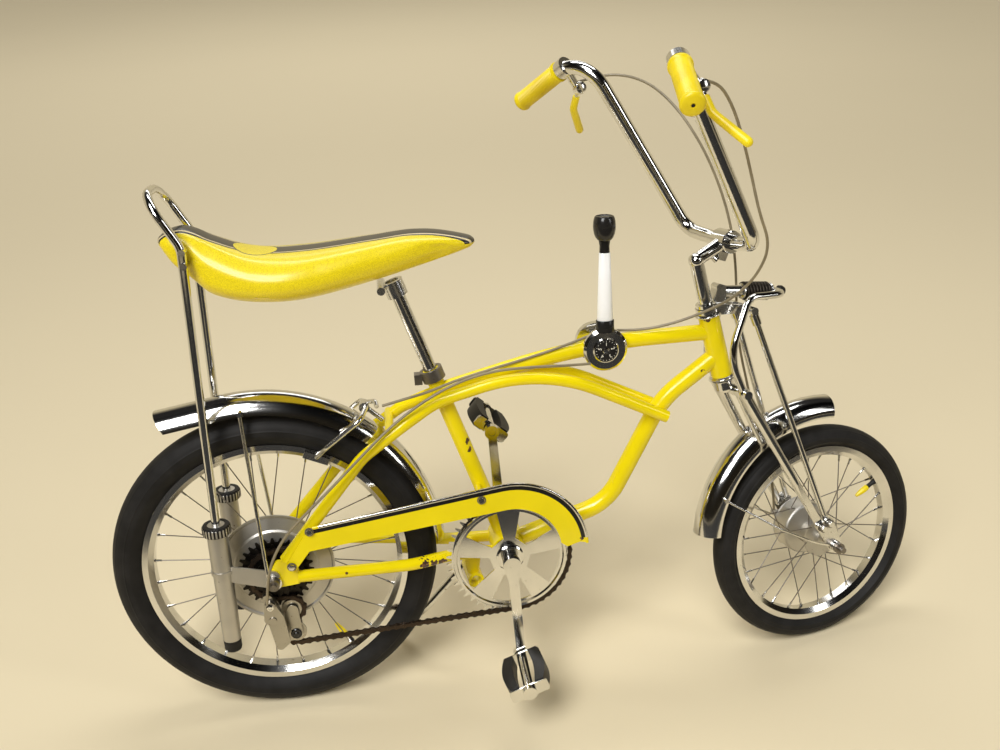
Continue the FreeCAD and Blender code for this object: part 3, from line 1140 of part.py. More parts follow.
front_stays = Part.makeCompound([stay, largest(strap), mirrored(stay), mirrored(largest(strap))])
finish(feature("FrontFenderStays", front_stays), "front_fender_stays", True)

# Stem with its quill, and the tall handlebar
QUILL_TOP = HEAD_TOP + AXIS * 92
BAR_CENTRE = V(728, 0, 470)
BAR = size("bar_diameter")
stem = bar(HEAD_TOP - AXIS * 20, QUILL_TOP, 22)
stem = stem.fuse(Part.makeSphere(12, QUILL_TOP)).fuse(bar(QUILL_TOP, BAR_CENTRE, 20, 25))
stem = stem.fuse(turned("StemClamp", ((0, -20), (16, -20), (17.5, -18), (17.5, 18), (16, 20), (0, 20)), BAR_CENTRE).Shape)
stem = stem.fuse(plate_xz(((714, 462), (710, 444), (722, 440), (730, 456)), -9, 9))
stem = stem.fuse(Part.makeCylinder(4, 14, V(711, 0, 441), (V(722, 0, 452) - V(711, 0, 441)).cross(LEFT)))
# Handlebar, right side: x, half width, z, bend radius
BAR_TABLE = ((512, 275, 688, 0), (562, 140, 758, 55), (716, 97, 478, 32), (728, 34, 470, 90))
BAR_POINTS = [V(x, -half, z) for x, half, z, bend in BAR_TABLE] + [V(x, half, z) for x, half, z, bend in BAR_TABLE[::-1]]
BAR_BENDS = [bend for x, half, z, bend in BAR_TABLE[1:]] + [bend for x, half, z, bend in BAR_TABLE[:0:-1]]
handlebar = pipe(BAR_POINTS, BAR_BENDS, BAR)
stem = largest(stem.cut(pin(BAR_CENTRE, BAR / 2, -40, 40)))
finish(feature("Stem", stem), "stem", True)
finish(feature("Handlebar", handlebar), "handlebar", True)
GRIP_R = size("grip_diameter") / 2
BAR_BORE = BAR / 2 + 0.1
GRIP_ROWS = ((0, -5), (13, -5), (GRIP_R + 1.5, -3, 1.0), (GRIP_R + 1.5, 1), (GRIP_R, 3), (GRIP_R, 94), (GRIP_R + 2, 96),
             (GRIP_R + 2, 99), (BAR_BORE, 100), (BAR_BORE, -0.1), (0, -0.1))
levers = []
rear_socket = rear_cable.copy()
rear_socket.Placement = STEER.inverse()
for side, name in ((-1, "right"), (1, "left")):
    end = V(512, side * 275, 688)
    along = (V(562, side * 140, 758) - end).normalize()
    finish(turned("Grip" + name.capitalize(), GRIP_ROWS, end, along), "grip_" + name, True)
    clamp_at = end + along * 103
    bracket = Part.makeCylinder(BAR / 2 + 4, 15, clamp_at, along)
    pivot = V(574, side * 190, 702)
    bracket = bracket.fuse(bar(clamp_at + along * 7.5 + V(6, 0, -4), pivot, 15, 12)).fuse(Part.makeSphere(7, pivot))
    lever = pipe([pivot, V(575, side * 214, 672), V(602, side * 252, 637)], [40], 7)
    lever = lever.fuse(Part.makeSphere(5, V(602, side * 252, 637)))
    levers.append(largest(bracket.fuse(lever).cut(handlebar).cut(rear_socket).cut(front_cable)))
finish(feature("BrakeLevers", Part.makeCompound(levers)), "brake_levers", True)

# Stand every sub-part on its side stand, with the box's bottom centre at the origin.
doc.recompute()
lean_only = FreeCAD.Placement(V(), STANCE)
for piece, steered in PIECES:
    group = lean_only.multiply(STEER) if steered else lean_only
    piece.Placement = group.multiply(piece.Placement)
doc.recompute()
whole = FreeCAD.BoundBox()
for piece, steered in PIECES:
    whole.add(piece.Shape.optimalBoundingBox(False, False))
shift = V(-(whole.XMin + whole.XMax) / 2, -(whole.YMin + whole.YMax) / 2, -GROUND_LEVEL)
for piece, steered in PIECES:
    piece.Placement = FreeCAD.Placement(shift, FreeCAD.Rotation()).multiply(piece.Placement)
doc.recompute()

# Check every object, then write one file for each sub-part
for item in doc.Objects:
    if "Invalid" in item.State or "Error" in item.State:
        raise RuntimeError("failed object: " + item.Name)
for piece, steered in PIECES:
    shape = piece.Shape
    if shape.isNull() or not shape.isValid() or shape.Volume <= 0:
        raise RuntimeError("bad shape: " + piece.Label)
    shape.exportStep("parts/%s.step" % piece.Label)

print("pieces", len(PIECES), "pitch", round(pitch_rest, 4), "ground", round(GROUND_LEVEL, 3))
print("box", [round(value, 2) for value in (whole.XMin, whole.YMin, whole.ZMin, whole.XMax, whole.YMax, whole.ZMax)])
FRAME_POSE = FreeCAD.Placement(shift, FreeCAD.Rotation()).multiply(lean_only)
FORK_POSE = FRAME_POSE.multiply(STEER)
AXES = (("steering", FRAME_POSE, HEAD_TOP, AXIS), ("rear_wheel", FRAME_POSE, V(), LEFT),
        ("front_wheel", FORK_POSE, FRONT_AXLE, LEFT), ("crank", FRAME_POSE, CRANK, LEFT),
        ("pedal_right", FRAME_POSE, PEDAL_RIGHT, LEFT), ("pedal_left", FRAME_POSE, PEDAL_LEFT, LEFT),
        ("stand", FRAME_POSE, STAND_PIVOT, STAND_AXIS),
        ("rear_axle_end", FRAME_POSE, V(0, -HALF - 24, 0), -LEFT),
        ("rear_axle_end_left", FRAME_POSE, V(0, HALF + 24, 0), LEFT),
        ("front_axle_end", FORK_POSE, FRONT_AXLE - LEFT * (FORK_HALF + 18.8), -LEFT),
        ("front_axle_end_left", FORK_POSE, FRONT_AXLE + LEFT * (FORK_HALF + 18.8), LEFT),
        ("bar_gap", FORK_POSE, V(655, 0, 590), LEFT))
for name, group, centre, axis in AXES:
    at = group.multVec(centre)
    way = group.Rotation.multVec(axis)
    print("axis", name, " ".join("%.5f" % value for value in (at.x, at.y, at.z, way.x, way.y, way.z)))
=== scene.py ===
import bpy
import bmesh
import json
import math
from mathutils import Matrix, Vector


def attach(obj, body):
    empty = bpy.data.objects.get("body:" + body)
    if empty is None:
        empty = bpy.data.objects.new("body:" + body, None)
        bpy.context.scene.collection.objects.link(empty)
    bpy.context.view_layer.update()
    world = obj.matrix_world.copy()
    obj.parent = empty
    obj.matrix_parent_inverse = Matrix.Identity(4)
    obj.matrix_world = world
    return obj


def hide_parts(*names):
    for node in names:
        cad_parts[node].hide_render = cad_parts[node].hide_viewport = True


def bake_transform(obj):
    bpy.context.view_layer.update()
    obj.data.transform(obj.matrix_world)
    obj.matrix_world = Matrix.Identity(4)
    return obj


# Chopper bicycle on its side stand. The scene is in metres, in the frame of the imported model:
# +X forward, +Y to the rider's left, +Z up, the floor at z = 0.
# Half sections and places are in millimetres, in the upright bicycle's own frame.
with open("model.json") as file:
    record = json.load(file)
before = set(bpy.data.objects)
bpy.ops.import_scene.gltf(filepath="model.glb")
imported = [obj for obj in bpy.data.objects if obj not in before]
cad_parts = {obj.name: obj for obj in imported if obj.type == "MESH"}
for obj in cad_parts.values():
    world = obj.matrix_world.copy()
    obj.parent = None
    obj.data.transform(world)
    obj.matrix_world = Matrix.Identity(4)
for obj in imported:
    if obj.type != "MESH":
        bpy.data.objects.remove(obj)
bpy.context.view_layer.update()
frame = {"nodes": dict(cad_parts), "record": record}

# The upright frame has its origin at the rear hub. It is pitched a little and leans to the bicycle's left.
JOINTS = {joint["name"]: joint for joint in frame["record"]["behaviour"]["joints"]}
REAR_HUB = Vector(JOINTS["rear_wheel_spin"]["pos_m"])
LEAN = math.radians(7.0)
PITCH = math.radians(0.4871)
STANCE = Matrix.Rotation(-LEAN, 4, "X") @ Matrix.Rotation(PITCH, 4, "Y")
BIKE = Matrix.Translation(REAR_HUB) @ STANCE

# The fork group is turned left about the steering axis
HEAD_ANGLE = math.radians(76.2)
HEAD_TOP = Vector((0.6983, 0.0, 0.3555))
HEAD_AXIS = Vector((-math.cos(HEAD_ANGLE), 0.0, math.sin(HEAD_ANGLE)))
STEER = math.radians(13.7)
TURN = Matrix.Translation(HEAD_TOP) @ Matrix.Rotation(STEER, 4, HEAD_AXIS) @ Matrix.Translation(-HEAD_TOP)
FORK = BIKE @ TURN

# Carriers: the frame that places are read in, and the body that the piece rides on
FRAME_PART = (BIKE, "frame")
FORK_PART = (FORK, "steering")
REAR_WHEEL = (BIKE, "rear_wheel")
FRONT_WHEEL = (FORK, "front_wheel")

ACROSS = (0, 1, 0)
ACROSS_RIGHT = (0, -1, 0)
UPRIGHT = (0, 0, 1)
SIDES = ((-1, "right"), (1, "left"))

# The photograph's camera in the upright frame, lengths in metres, lens and sensor in millimetres
VIEW_AZIMUTH = math.radians(-5.88)
VIEW_HEIGHT = math.radians(19.45)
VIEW_ROLL = math.radians(-2.44)
VIEW_TARGET = Vector((0.36949, 0.0, 0.28503))
VIEW_DISTANCE = 1.5934
LENS = 37.16
SENSOR = 36.0

# Colours are linear
OFF = (0, 0, 0, 1)
ON = (1, 1, 1, 1)
FLAKE_DARK = (0.66, 0.50, 0.003, 1)
FLAKE_LIGHT = (0.94, 0.77, 0.01, 1)
STRIPE_BLACK = (0.014, 0.012, 0.010, 1)
STRIPE_PALE = (0.70, 0.58, 0.33, 1)
BLACK = (0.012, 0.011, 0.010, 1)
CHROME = (0.82, 0.81, 0.78, 1)
PIT_BROWN = (0.16, 0.11, 0.07, 1)
RUST = (0.20, 0.075, 0.025, 1)
DARK_RUST = (0.045, 0.030, 0.022, 1)
FLOOR_COLOUR = (0.74, 0.635, 0.425, 1)
FLAG_DARK = (0.014, 0.013, 0.012, 1)
FLAG_LIGHT = (0.024, 0.022, 0.020, 1)
SWEEP_PALE = (0.62, 0.53, 0.34, 1)
ROOM_DARK = (0.020, 0.019, 0.018, 1)
FRONT_DARK = (0.022, 0.020, 0.018, 1)
SIGHT_PALE = (0.60, 0.51, 0.33, 1)


def mm(point, group):
    """A place in millimetres in the upright bicycle, as it stands."""
    return group @ (Vector(point) / 1000)


def sided(point, side):
    """A place on the left side, or its mirror image on the right."""
    return Vector((point[0], side * point[1], point[2]))


def stretched(place, along, across):
    """The upright frame drawn out or in about a place."""
    move = Matrix.Translation(Vector(place) / 1000)
    return BIKE @ move @ Matrix.Diagonal((along, across, 1, 1)) @ move.inverted()


class Tree:
    """Nodes of a material or of the world."""

    def __init__(self, owner):
        owner.use_nodes = True
        self.owner = owner
        self.nodes = owner.node_tree.nodes
        self.links = owner.node_tree.links

    def feed(self, socket, value):
        """Link an output to a socket, or set a plain value."""
        if isinstance(value, bpy.types.NodeSocket):
            self.links.new(value, socket)
        else:
            socket.default_value = value

    def surface(self, values):
        """Set or link sockets of the surface shader."""
        for name, value in values.items():
            self.feed(self.nodes["Principled BSDF"].inputs[name], value)

    def place(self):
        """Object coordinates."""
        return self.nodes.new("ShaderNodeTexCoord").outputs["Object"]

    def split(self, source):
        """Outputs X, Y and Z of a vector."""
        node = self.nodes.new("ShaderNodeSeparateXYZ")
        self.feed(node.inputs["Vector"], source)
        return node.outputs

    def noise(self, scale, detail=3.0):
        """Factor of a noise in object coordinates."""
        node = self.nodes.new("ShaderNodeTexNoise")
        node.inputs["Scale"].default_value = scale
        node.inputs["Detail"].default_value = detail
        self.feed(node.inputs["Vector"], self.place())
        return node.outputs["Fac"]

    def ramp(self, source, *stops, change="LINEAR"):
        """Colour along a factor. Stops: position and colour."""
        node = self.nodes.new("ShaderNodeValToRGB")
        node.color_ramp.interpolation = change
        elements = node.color_ramp.elements
        for index, (position, colour) in enumerate(stops):
            stop = elements[index] if index < 2 else elements.new(position)
            stop.position = position
            stop.color = colour
        self.feed(node.inputs["Fac"], source)
        return node.outputs["Color"]

    def stretch(self, source, low, high, start=0.0, end=1.0):
        """A factor's range from start to end, stretched from low to high."""
        node = self.nodes.new("ShaderNodeMapRange")
        for name, value in (("From Min", start), ("From Max", end), ("To Min", low), ("To Max", high)):
            node.inputs[name].default_value = value
        self.feed(node.inputs["Value"], source)
        return node.outputs["Result"]

    def operation(self, kind, operation, inputs):
        """Node of a kind that works on its inputs."""
        node = self.nodes.new(kind)
        node.operation = operation
        for socket, value in zip(node.inputs, inputs):
            self.feed(socket, value)
        return node.outputs

    def number(self, operation, *inputs):
        """Result of an operation on numbers."""
        return self.operation("ShaderNodeMath", operation, inputs)["Value"]

    def vector(self, operation, *inputs):
        """Outputs of an operation on vectors."""
        return self.operation("ShaderNodeVectorMath", operation, inputs)

    def mix(self, factor, first, second, blend="MIX"):
        """Two colours mixed by a factor."""
        node = self.nodes.new("ShaderNodeMix")
        node.data_type = "RGBA"
        node.blend_type = blend
        self.feed(node.inputs["Factor"], factor)
        self.feed(node.inputs["A"], first)
        self.feed(node.inputs["B"], second)
        return node.outputs["Result"]

    def bump(self, source, strength, distance):
        """Relief in the surface from a factor."""
        node = self.nodes.new("ShaderNodeBump")
        node.inputs["Strength"].default_value = strength
        node.inputs["Distance"].default_value = distance
        self.feed(node.inputs["Height"], source)
        self.surface({"Normal": node.outputs["Normal"]})


def tinted(colour, share):
    """A colour made darker by a share."""
    return tuple(channel * share for channel in colour[:3]) + (1,)


# Worn spots in the yellow enamel. Row: bicycle x, y, z and reach in millimetres
CHIPS = (
    (692.2, -17.0, 354.4, 4.2), (688.1, -17.0, 271.7, 3.4), (606.0, -15.0, 227.7, 3.8),
    (352.0, -12.0, 269.4, 3.4), (313.6, -13.0, 183.2, 4.6), (316.0, -13.0, 169.3, 3.8),
    (109.6, -62.0, 2.6, 3.2), (232.0, -44.0, -6.0, 8.5), (248.0, -40.0, -8.0, 8.5),
    (262.0, -36.0, -6.0, 7.5), (428.3, -60.0, 24.6, 3.4), (482.0, -60.0, 22.0, 3.4),
)
# Distance across the bicycle counts less, so that a spot reaches into the tube
FLATTEN = Vector((1.0, 0.3, 1.0))


def chipped(tree, ragged, chips):
    """Mask of the ragged spots round the worn places."""
    flat = tree.vector("MULTIPLY", tree.place(), FLATTEN)["Vector"]
    outline = tree.stretch(ragged, 0.15, 1.6, 0.30, 0.70)
    mask = 0.0
    for x, y, z, reach in chips:
        away = tree.vector("DISTANCE", flat, mm((x, y, z), BIKE) * FLATTEN)["Value"]
        spot = tree.number("LESS_THAN", away, tree.number("MULTIPLY", outline, reach / 1000))
        mask = tree.number("MAXIMUM", mask, spot)
    return mask


def enamel(name, colour, chips=()):
    """Glossy enamel with faint unevenness, and ragged chips to rusty steel at the worn spots."""
    tree = Tree(bpy.data.materials.new(name))
    tone = tree.noise(9.0)
    paint = tree.ramp(tone, (0.3, tinted(colour, 0.86)), (0.7, colour))
    if chips:
        ragged = tree.noise(190.0, 4.0)
        rust = tree.ramp(ragged, (0.4, RUST), (0.6, DARK_RUST))
        paint = tree.mix(chipped(tree, ragged, chips), paint, rust)
    tree.surface({
        "Base Color": paint,
        "Roughness": 0.26,
        "Specular IOR Level": 0.35,
        "Coat Weight": 0.4,
        "Coat Roughness": 0.06,
    })
    tree.bump(tone, 0.04, 0.0006)
    return tree.owner


def plated(name, colour, roughness, speckle=0.0):
    """Bright or bare metal with slight haze and pitting."""
    tree = Tree(bpy.data.materials.new(name))
    haze = tree.noise(14.0)
    pits = tree.noise(260.0, 4.0)
    metal = tree.ramp(haze, (0.3, colour), (0.75, tinted(colour, 0.80)))
    mask = tree.ramp(pits, (0.70 - speckle, OFF), (0.76 - speckle, ON))
    tree.surface({
        "Base Color": tree.mix(mask, metal, PIT_BROWN),
        "Metallic": 1.0,
        "Roughness": tree.stretch(haze, roughness, roughness + 0.10),
    })
    tree.bump(pits, 0.03, 0.0003)
    return tree.owner


def grained(name, colour, roughness, scale, depth, gloss=0.5):
    """Rubber or plastic with a fine grain."""
    tree = Tree(bpy.data.materials.new(name))
    light = tuple(min(1.0, channel * 1.5 + 0.004) for channel in colour[:3]) + (1,)
    tree.surface({
        "Base Color": tree.ramp(tree.noise(scale / 12), (0.3, colour), (0.8, light)),
        "Roughness": roughness,
        "Specular IOR Level": gloss,
    })
    tree.bump(tree.noise(scale, 5.0), depth, 0.0005)
    return tree.owner


def matt(name, roughness, scale, shade, colour):
    """Matt paper or cloth with faint unevenness."""
    tree = Tree(bpy.data.materials.new(name))
    tree.surface({
        "Base Color": tree.ramp(tree.noise(scale), (0.3, shade), (0.7, colour)),
        "Roughness": roughness,
    })
    return tree.owner


FLAKE_SCALE = 1300.0
# The seat's stripes, out from its middle line, with 1000 / 18 mm to a unit
STRIPE_SCALE = 18.0
STRIPES = ((0.0, STRIPE_BLACK), (0.315, STRIPE_PALE), (0.375, STRIPE_BLACK))
STRIPES_END = 0.44
LEFT_WAY = STANCE.to_3x3() @ Vector((0, 1, 0))
# Plain disc on the stripes, with a thin dark line round it
DISC_CENTRE = mm((22.5, 0.0, 503.0), BIKE)
DISC_RADIUS = 0.0325
DISC_LINE = 0.0010


def striped_vinyl(name):
    """Metal-flake vinyl with stripes down the middle of its top, a plain disc and a plain underside."""
    tree = Tree(bpy.data.materials.new(name))
    where = tree.place()
    flakes = tree.nodes.new("ShaderNodeTexVoronoi")
    flakes.inputs["Scale"].default_value = FLAKE_SCALE
    tree.feed(flakes.inputs["Vector"], where)
    vinyl = tree.ramp(flakes.outputs["Color"], (0.15, FLAKE_DARK), (0.85, FLAKE_LIGHT))
    from_hub = tree.vector("SUBTRACT", where, REAR_HUB)["Vector"]
    across = tree.vector("DOT_PRODUCT", from_hub, LEFT_WAY)["Value"]
    out = tree.number("MULTIPLY", tree.number("ABSOLUTE", across), STRIPE_SCALE)
    away = tree.vector("DISTANCE", where, DISC_CENTRE)["Value"]
    outside = tree.number("GREATER_THAN", out, STRIPES_END)
    inside = tree.number("LESS_THAN", away, DISC_RADIUS)
    stripes = tree.ramp(out, *STRIPES, change="CONSTANT")
    striped = tree.mix(tree.number("MAXIMUM", outside, inside), stripes, vinyl)
    ringed = tree.mix(tree.number("COMPARE", away, DISC_RADIUS, DISC_LINE), striped, STRIPE_BLACK)
    facing = tree.nodes.new("ShaderNodeNewGeometry").outputs["Normal"]
    upper = tree.ramp(tree.split(facing)["Z"], (0.0, OFF), (0.02, ON))
    tree.surface({
        "Base Color": tree.mix(upper, vinyl, ringed),
        "Roughness": 0.34,
        "Coat Weight": 0.22,
        "Coat Roughness": 0.12,
    })
    tree.bump(tree.noise(26.0, 4.0), 0.10, 0.002)
    return tree.owner


PAINT = enamel("yellow_enamel", (0.91, 0.73, 0.002, 1), CHIPS)
BRIGHT = plated("bright_chrome", CHROME, 0.07)
WORN = plated("worn_chrome", CHROME, 0.14, 0.03)
DULL = plated("dull_steel", (0.30, 0.27, 0.23, 1), 0.38, 0.06)
SATIN = plated("satin_aluminium", (0.66, 0.63, 0.57, 1), 0.42)
CHAIN_STEEL = plated("oily_chain_steel", (0.085, 0.062, 0.045, 1), 0.45, 0.02)
TYRE = grained("black_tyre_rubber", BLACK, 0.56, 420.0, 0.10, 0.16)
BLOCK = grained("black_pedal_rubber", BLACK, 0.50, 300.0, 0.15, 0.22)
DARK_PLASTIC = grained("black_plastic", BLACK, 0.20, 200.0, 0.03)
GRIP = grained("yellow_grip", (0.72, 0.54, 0.004, 1), 0.34, 240.0, 0.05)
SEAT_VINYL = striped_vinyl("yellow_flake_vinyl")
BLACK_PAINT = enamel("black_enamel", (0.010, 0.009, 0.008, 1))
DARK_SPRING = plated("dark_spring_steel", (0.055, 0.047, 0.038, 1), 0.34, 0.03)
HOUSING = grained("cable_housing", (0.20, 0.165, 0.10, 1), 0.35, 300.0, 0.05)
WORN_STEEL = plated("worn_steel", (0.50, 0.47, 0.41, 1), 0.24, 0.03)
BLACK_STEEL = plated("black_steel", (0.040, 0.035, 0.030, 1), 0.36, 0.03)
IVORY = grained("ivory_marks", (0.75, 0.70, 0.58, 1), 0.4, 200.0, 0.02)
# Painted highlight: the gear lever's chrome sleeve gets an even bright white that stands for the light it
# reflects
PAINTED_HIGHLIGHT_WHITE = grained("lever_sleeve_painted_highlight", (0.90, 0.90, 0.88, 1), 0.14, 200.0, 0.01)

# Nodes by material
FINISHES = (
    (PAINT, ("head_tube", "top_tube", "down_tube", "seat_tube", "bottom_bracket_shell", "cantilever_tubes",
             "chain_stays", "dropouts", "stay_bridge", "stand_housing", "chain_guard")),
    (BRIGHT, ("seat_post", "sissy_bar", "rear_fender", "fender_stays", "rear_rim", "front_rim", "chain_ring",
              "crank", "fork", "front_rods", "front_fender", "stem", "handlebar", "shifter",
              "pedal_frame_right", "pedal_frame_left")),
    (WORN, ("saddle_bracket", "bottom_bracket_cups", "rockers", "spring_yoke", "front_fender_stays",
            "head_cups", "stand_leg", "brake_levers", "rear_brake", "spring")),
    (WORN_STEEL, ("derailleur",)),
    (BLACK_STEEL, ("freewheel",)),
    (DULL, ("seat_clamp", "rear_axle", "front_axle", "rear_spokes", "front_spokes")),
    (HOUSING, ("rear_brake_cable", "front_brake_cable", "shift_cable")),
    (SATIN, ("seat_struts", "front_hub", "rear_hub", "brake_plate")),
    (CHAIN_STEEL, ("chain",)),
    (TYRE, ("rear_tyre", "front_tyre")),
    (BLOCK, ("pedal_blocks_right", "pedal_blocks_left")),
    (DARK_PLASTIC, ("shift_knob",)),
    (GRIP, ("grip_right", "grip_left")),
)


def finish_nodes():
    """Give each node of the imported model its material."""
    for material, names in FINISHES:
        for name in names:
            slots = frame["nodes"][name].data.materials
            slots.clear()
            slots.append(material)


def placed(name, data):
    """New object in the scene that holds the data."""
    thing = bpy.data.objects.new(name, data)
    bpy.context.collection.objects.link(thing)
    return thing


# Nothing below moves a CAD node: these pieces are fitted over the nodes or stand for them.
def add_piece(name, shape, material, body, crease=38.0):
    """Joined mesh of a shape's vertices and faces, smooth but for edges that turn by more than an angle."""
    vertices, faces = shape
    work = bmesh.new()
    corners = [work.verts.new(vertex) for vertex in vertices]
    for face in faces:
        if len(set(face)) > 2:
            work.faces.new([corners[index] for index in dict.fromkeys(face)])
    bmesh.ops.remove_doubles(work, verts=work.verts, dist=1e-6)
    bmesh.ops.recalc_face_normals(work, faces=work.faces)
    limit = math.radians(crease)
    for face in work.faces:
        face.smooth = True
    for edge in work.edges:
        if len(edge.link_faces) == 2 and edge.calc_face_angle(0.0) > limit:
            edge.smooth = False
    mesh = bpy.data.meshes.new(name)
    work.to_mesh(mesh)
    work.free()
    mesh.materials.append(material)
    piece = placed(name, mesh)
    if body:
        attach(piece, body)
    return piece


def turned(rows, centre, axis, group, steps, ribs=None):
    """Vertices and faces turned from rows of radius and offset. Ribs: count, depth, first and last row."""
    along = Vector(axis).normalized()
    first = along.orthogonal().normalized()
    second = along.cross(first)
    vertices = []
    faces = []
    count = len(rows)
    for step in range(steps):
        turn = 2 * math.pi * step / steps
        out = first * math.cos(turn) + second * math.sin(turn)
        for index, (radius, offset) in enumerate(rows):
            if ribs and ribs[2] <= index <= ribs[3]:
                radius = radius - ribs[1] * (0.5 - 0.5 * math.cos(turn * ribs[0]))
            vertices.append(mm(Vector(centre) + along * offset + out * radius, group))
        for index in range(count):
            here = step * count + index
            after = step * count + (index + 1) % count
            there = ((step + 1) % steps) * count
            faces.append((here, after, there + (index + 1) % count, there + index))
    return vertices, faces


def lathe(name, rows, centre, axis, carrier, material, steps, ribs=None):
    """Turned piece on its carrier."""
    group, body = carrier
    return add_piece(name, turned(rows, centre, axis, group, steps, ribs), material, body)


def tube_faces(rings, sides):
    """Faces of a tube between rings of vertices, and its flat ends."""
    faces = []
    for ring in range(rings - 1):
        here = ring * sides
        there = here + sides
        for corner in range(sides):
            after = (corner + 1) % sides
            faces.append((here + corner, here + after, there + after, there + corner))
    faces.append(tuple(range(sides)))
    faces.append(tuple((rings - 1) * sides + corner for corner in range(sides)))
    return faces


def swept(points, radii, sides):
    """Vertices and faces of a round tube along points in metres, one radius a point."""
    vertices = []
    last = len(points) - 1
    side = None
    for index, point in enumerate(points):
        way = (points[min(index + 1, last)] - points[max(index - 1, 0)]).normalized()
        if side is None:
            side = way.orthogonal().normalized()
        side = (side - way * side.dot(way)).normalized()
        other = way.cross(side)
        for corner in range(sides):
            turn = 2 * math.pi * corner / sides
            vertices.append(point + (side * math.cos(turn) + other * math.sin(turn)) * radii[index])
    return vertices, tube_faces(len(points), sides)


def merged(parts):
    """Several sets of vertices and faces as one."""
    vertices = []
    faces = []
    for more_vertices, more_faces in parts:
        start = len(vertices)
        vertices.extend(more_vertices)
        faces.extend(tuple(index + start for index in face) for face in more_faces)
    return vertices, faces


def smooth_line(points, name):
    """Points read along a NURBS curve that has the given control points."""
    data = bpy.data.curves.new(name, "CURVE")
    data.dimensions = "3D"
    data.resolution_u = 8
    spline = data.splines.new("NURBS")
    spline.points.add(len(points) - 1)
    for index, point in enumerate(points):
        spline.points[index].co = (point.x, point.y, point.z, 1)
    spline.order_u = 3
    spline.use_endpoint_u = True
    holder = placed(name, data)
    mesh = bpy.data.meshes.new_from_object(holder)
    line = [vertex.co.copy() for vertex in mesh.vertices]
    bpy.data.objects.remove(holder)
    bpy.data.meshes.remove(mesh)
    return line


# Wheels: the tyre's outside radius and width, the rim's bead radius, radius and offset of the right and left
# hub flange, lacing angle in radians, the valve's angle in degrees above forward, and its bed's radius
WHEELS = (
    {"name": "rear", "centre": (0, 0, 0), "carrier": REAR_WHEEL, "radius": 254.0, "width": 53.6, "rim": 207.0,
     "flanges": ((21.0, 21.8), (21.0, 29.5)), "lacing": 1.0, "valve_angle": -57.5, "valve_bed": 190.0},
    {"name": "front", "centre": (904.0, 0.0, -51.8), "carrier": FRONT_WHEEL, "radius": 192.2, "width": 42.6,
     "rim": 158.5, "flanges": ((31.5, 24.5), (47.2, 22.0)), "lacing": 0.7, "valve_angle": 29.0,
     "valve_bed": 141.5},
)
# The tyre's section turns in steps either way from the tread's middle. Raised lines: step and height
TYRE_STEPS = 30
TYRE_STEP = math.radians(3.3)
TYRE_LINES = {24: 0.7, 13: 0.45}


def tyre_rows(radius, width, rim_radius):
    """Round section with fine bead and shoulder lines, from the right bead round the tread."""
    rows = [(rim_radius + 0.4, -width * 0.27), (rim_radius + 3.0, -width * 0.33)]
    for step in range(-TYRE_STEPS, TYRE_STEPS + 1):
        angle = step * TYRE_STEP
        reach = width / 2 + TYRE_LINES.get(abs(step), 0.0)
        out = radius - width / 2 + reach * math.cos(angle)
        rows.append((min(out, radius), reach * math.sin(angle)))
    return rows + [(rim_radius + 3.0, width * 0.33), (rim_radius + 0.4, width * 0.27)]


def add_tyres():
    """Rubber tyres in place of the plain ones."""
    for wheel in WHEELS:
        node = wheel["name"] + "_tyre"
        rows = tyre_rows(wheel["radius"], wheel["width"], wheel["rim"])
        tyre = lathe(node + "_rubber", rows, wheel["centre"], ACROSS, wheel["carrier"], TYRE, 144)
        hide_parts(node)


SPOKES = 28
NIPPLE_ROWS = ((0, -0.5), (2.6, -0.5), (2.6, 2.2), (1.9, 2.6), (1.7, 11), (0, 11))
# How far the nipples start inside the bead, and the offsets of a spoke's ends at the flange and the rim
NIPPLE_DEPTH = 17.3
ELBOW_OFFSET = 3.2
RIM_OFFSET = 3.0


def nipple(wheel, index):
    """One nipple, in line with its spoke. The spokes go to the left and the right flange in turn."""
    side = -1 if index % 2 else 1
    lay = 1 if (index // 2) % 2 else -1
    rim_turn = 2 * math.pi * (index + 0.5) / SPOKES
    hub_turn = rim_turn + lay * wheel["lacing"]
    flange, offset = wheel["flanges"][0 if side < 0 else 1]
    bed = wheel["rim"] - NIPPLE_DEPTH
    centre = Vector(wheel["centre"])
    start = centre + Vector((flange * math.cos(hub_turn), side * offset + lay * ELBOW_OFFSET,
                             flange * math.sin(hub_turn)))
    end = centre + Vector((bed * math.cos(rim_turn), side * RIM_OFFSET, bed * math.sin(rim_turn)))
    return turned(NIPPLE_ROWS, end, (start - end).normalized(), wheel["carrier"][0], 8)


def add_spoke_nipples():
    """The nipples of each wheel as one piece."""
    for wheel in WHEELS:
        shape = merged([nipple(wheel, index) for index in range(SPOKES)])
        name = wheel["name"] + "_spoke"
        add_piece(name + "_nipples", shape, WORN, wheel["carrier"][1])


STEM_ROWS = ((0, -2), (5.4, -2), (4.6, 2), (3.8, 5), (3.6, 16), (0, 16))
CAP_ROWS = ((0, 15), (4.6, 15), (5.2, 17), (5.2, 24), (4.4, 31), (3.0, 38), (2.2, 41), (0, 41.5))
CAP_RIBS = (9, 0.5, 1, 4)


def add_valves():
    """Rubber valve stems and their long yellow caps."""
    for wheel in WHEELS:
        angle = math.radians(wheel["valve_angle"])
        inward = Vector((-math.cos(angle), 0, -math.sin(angle)))
        base = Vector(wheel["centre"]) - inward * wheel["valve_bed"]
        name = wheel["name"] + "_valve"
        lathe(name + "_stem", STEM_ROWS, base, inward, wheel["carrier"], BLOCK, 24)
        lathe(name + "_cap", CAP_ROWS, base, inward, wheel["carrier"], GRIP, 36, CAP_RIBS)


CHAIN_PITCH = 12.7
CHAIN_Y = -46.0


def pitch_radius(teeth):
    """Pitch radius of a chain wheel."""
    return CHAIN_PITCH / 2 / math.sin(math.pi / teeth)


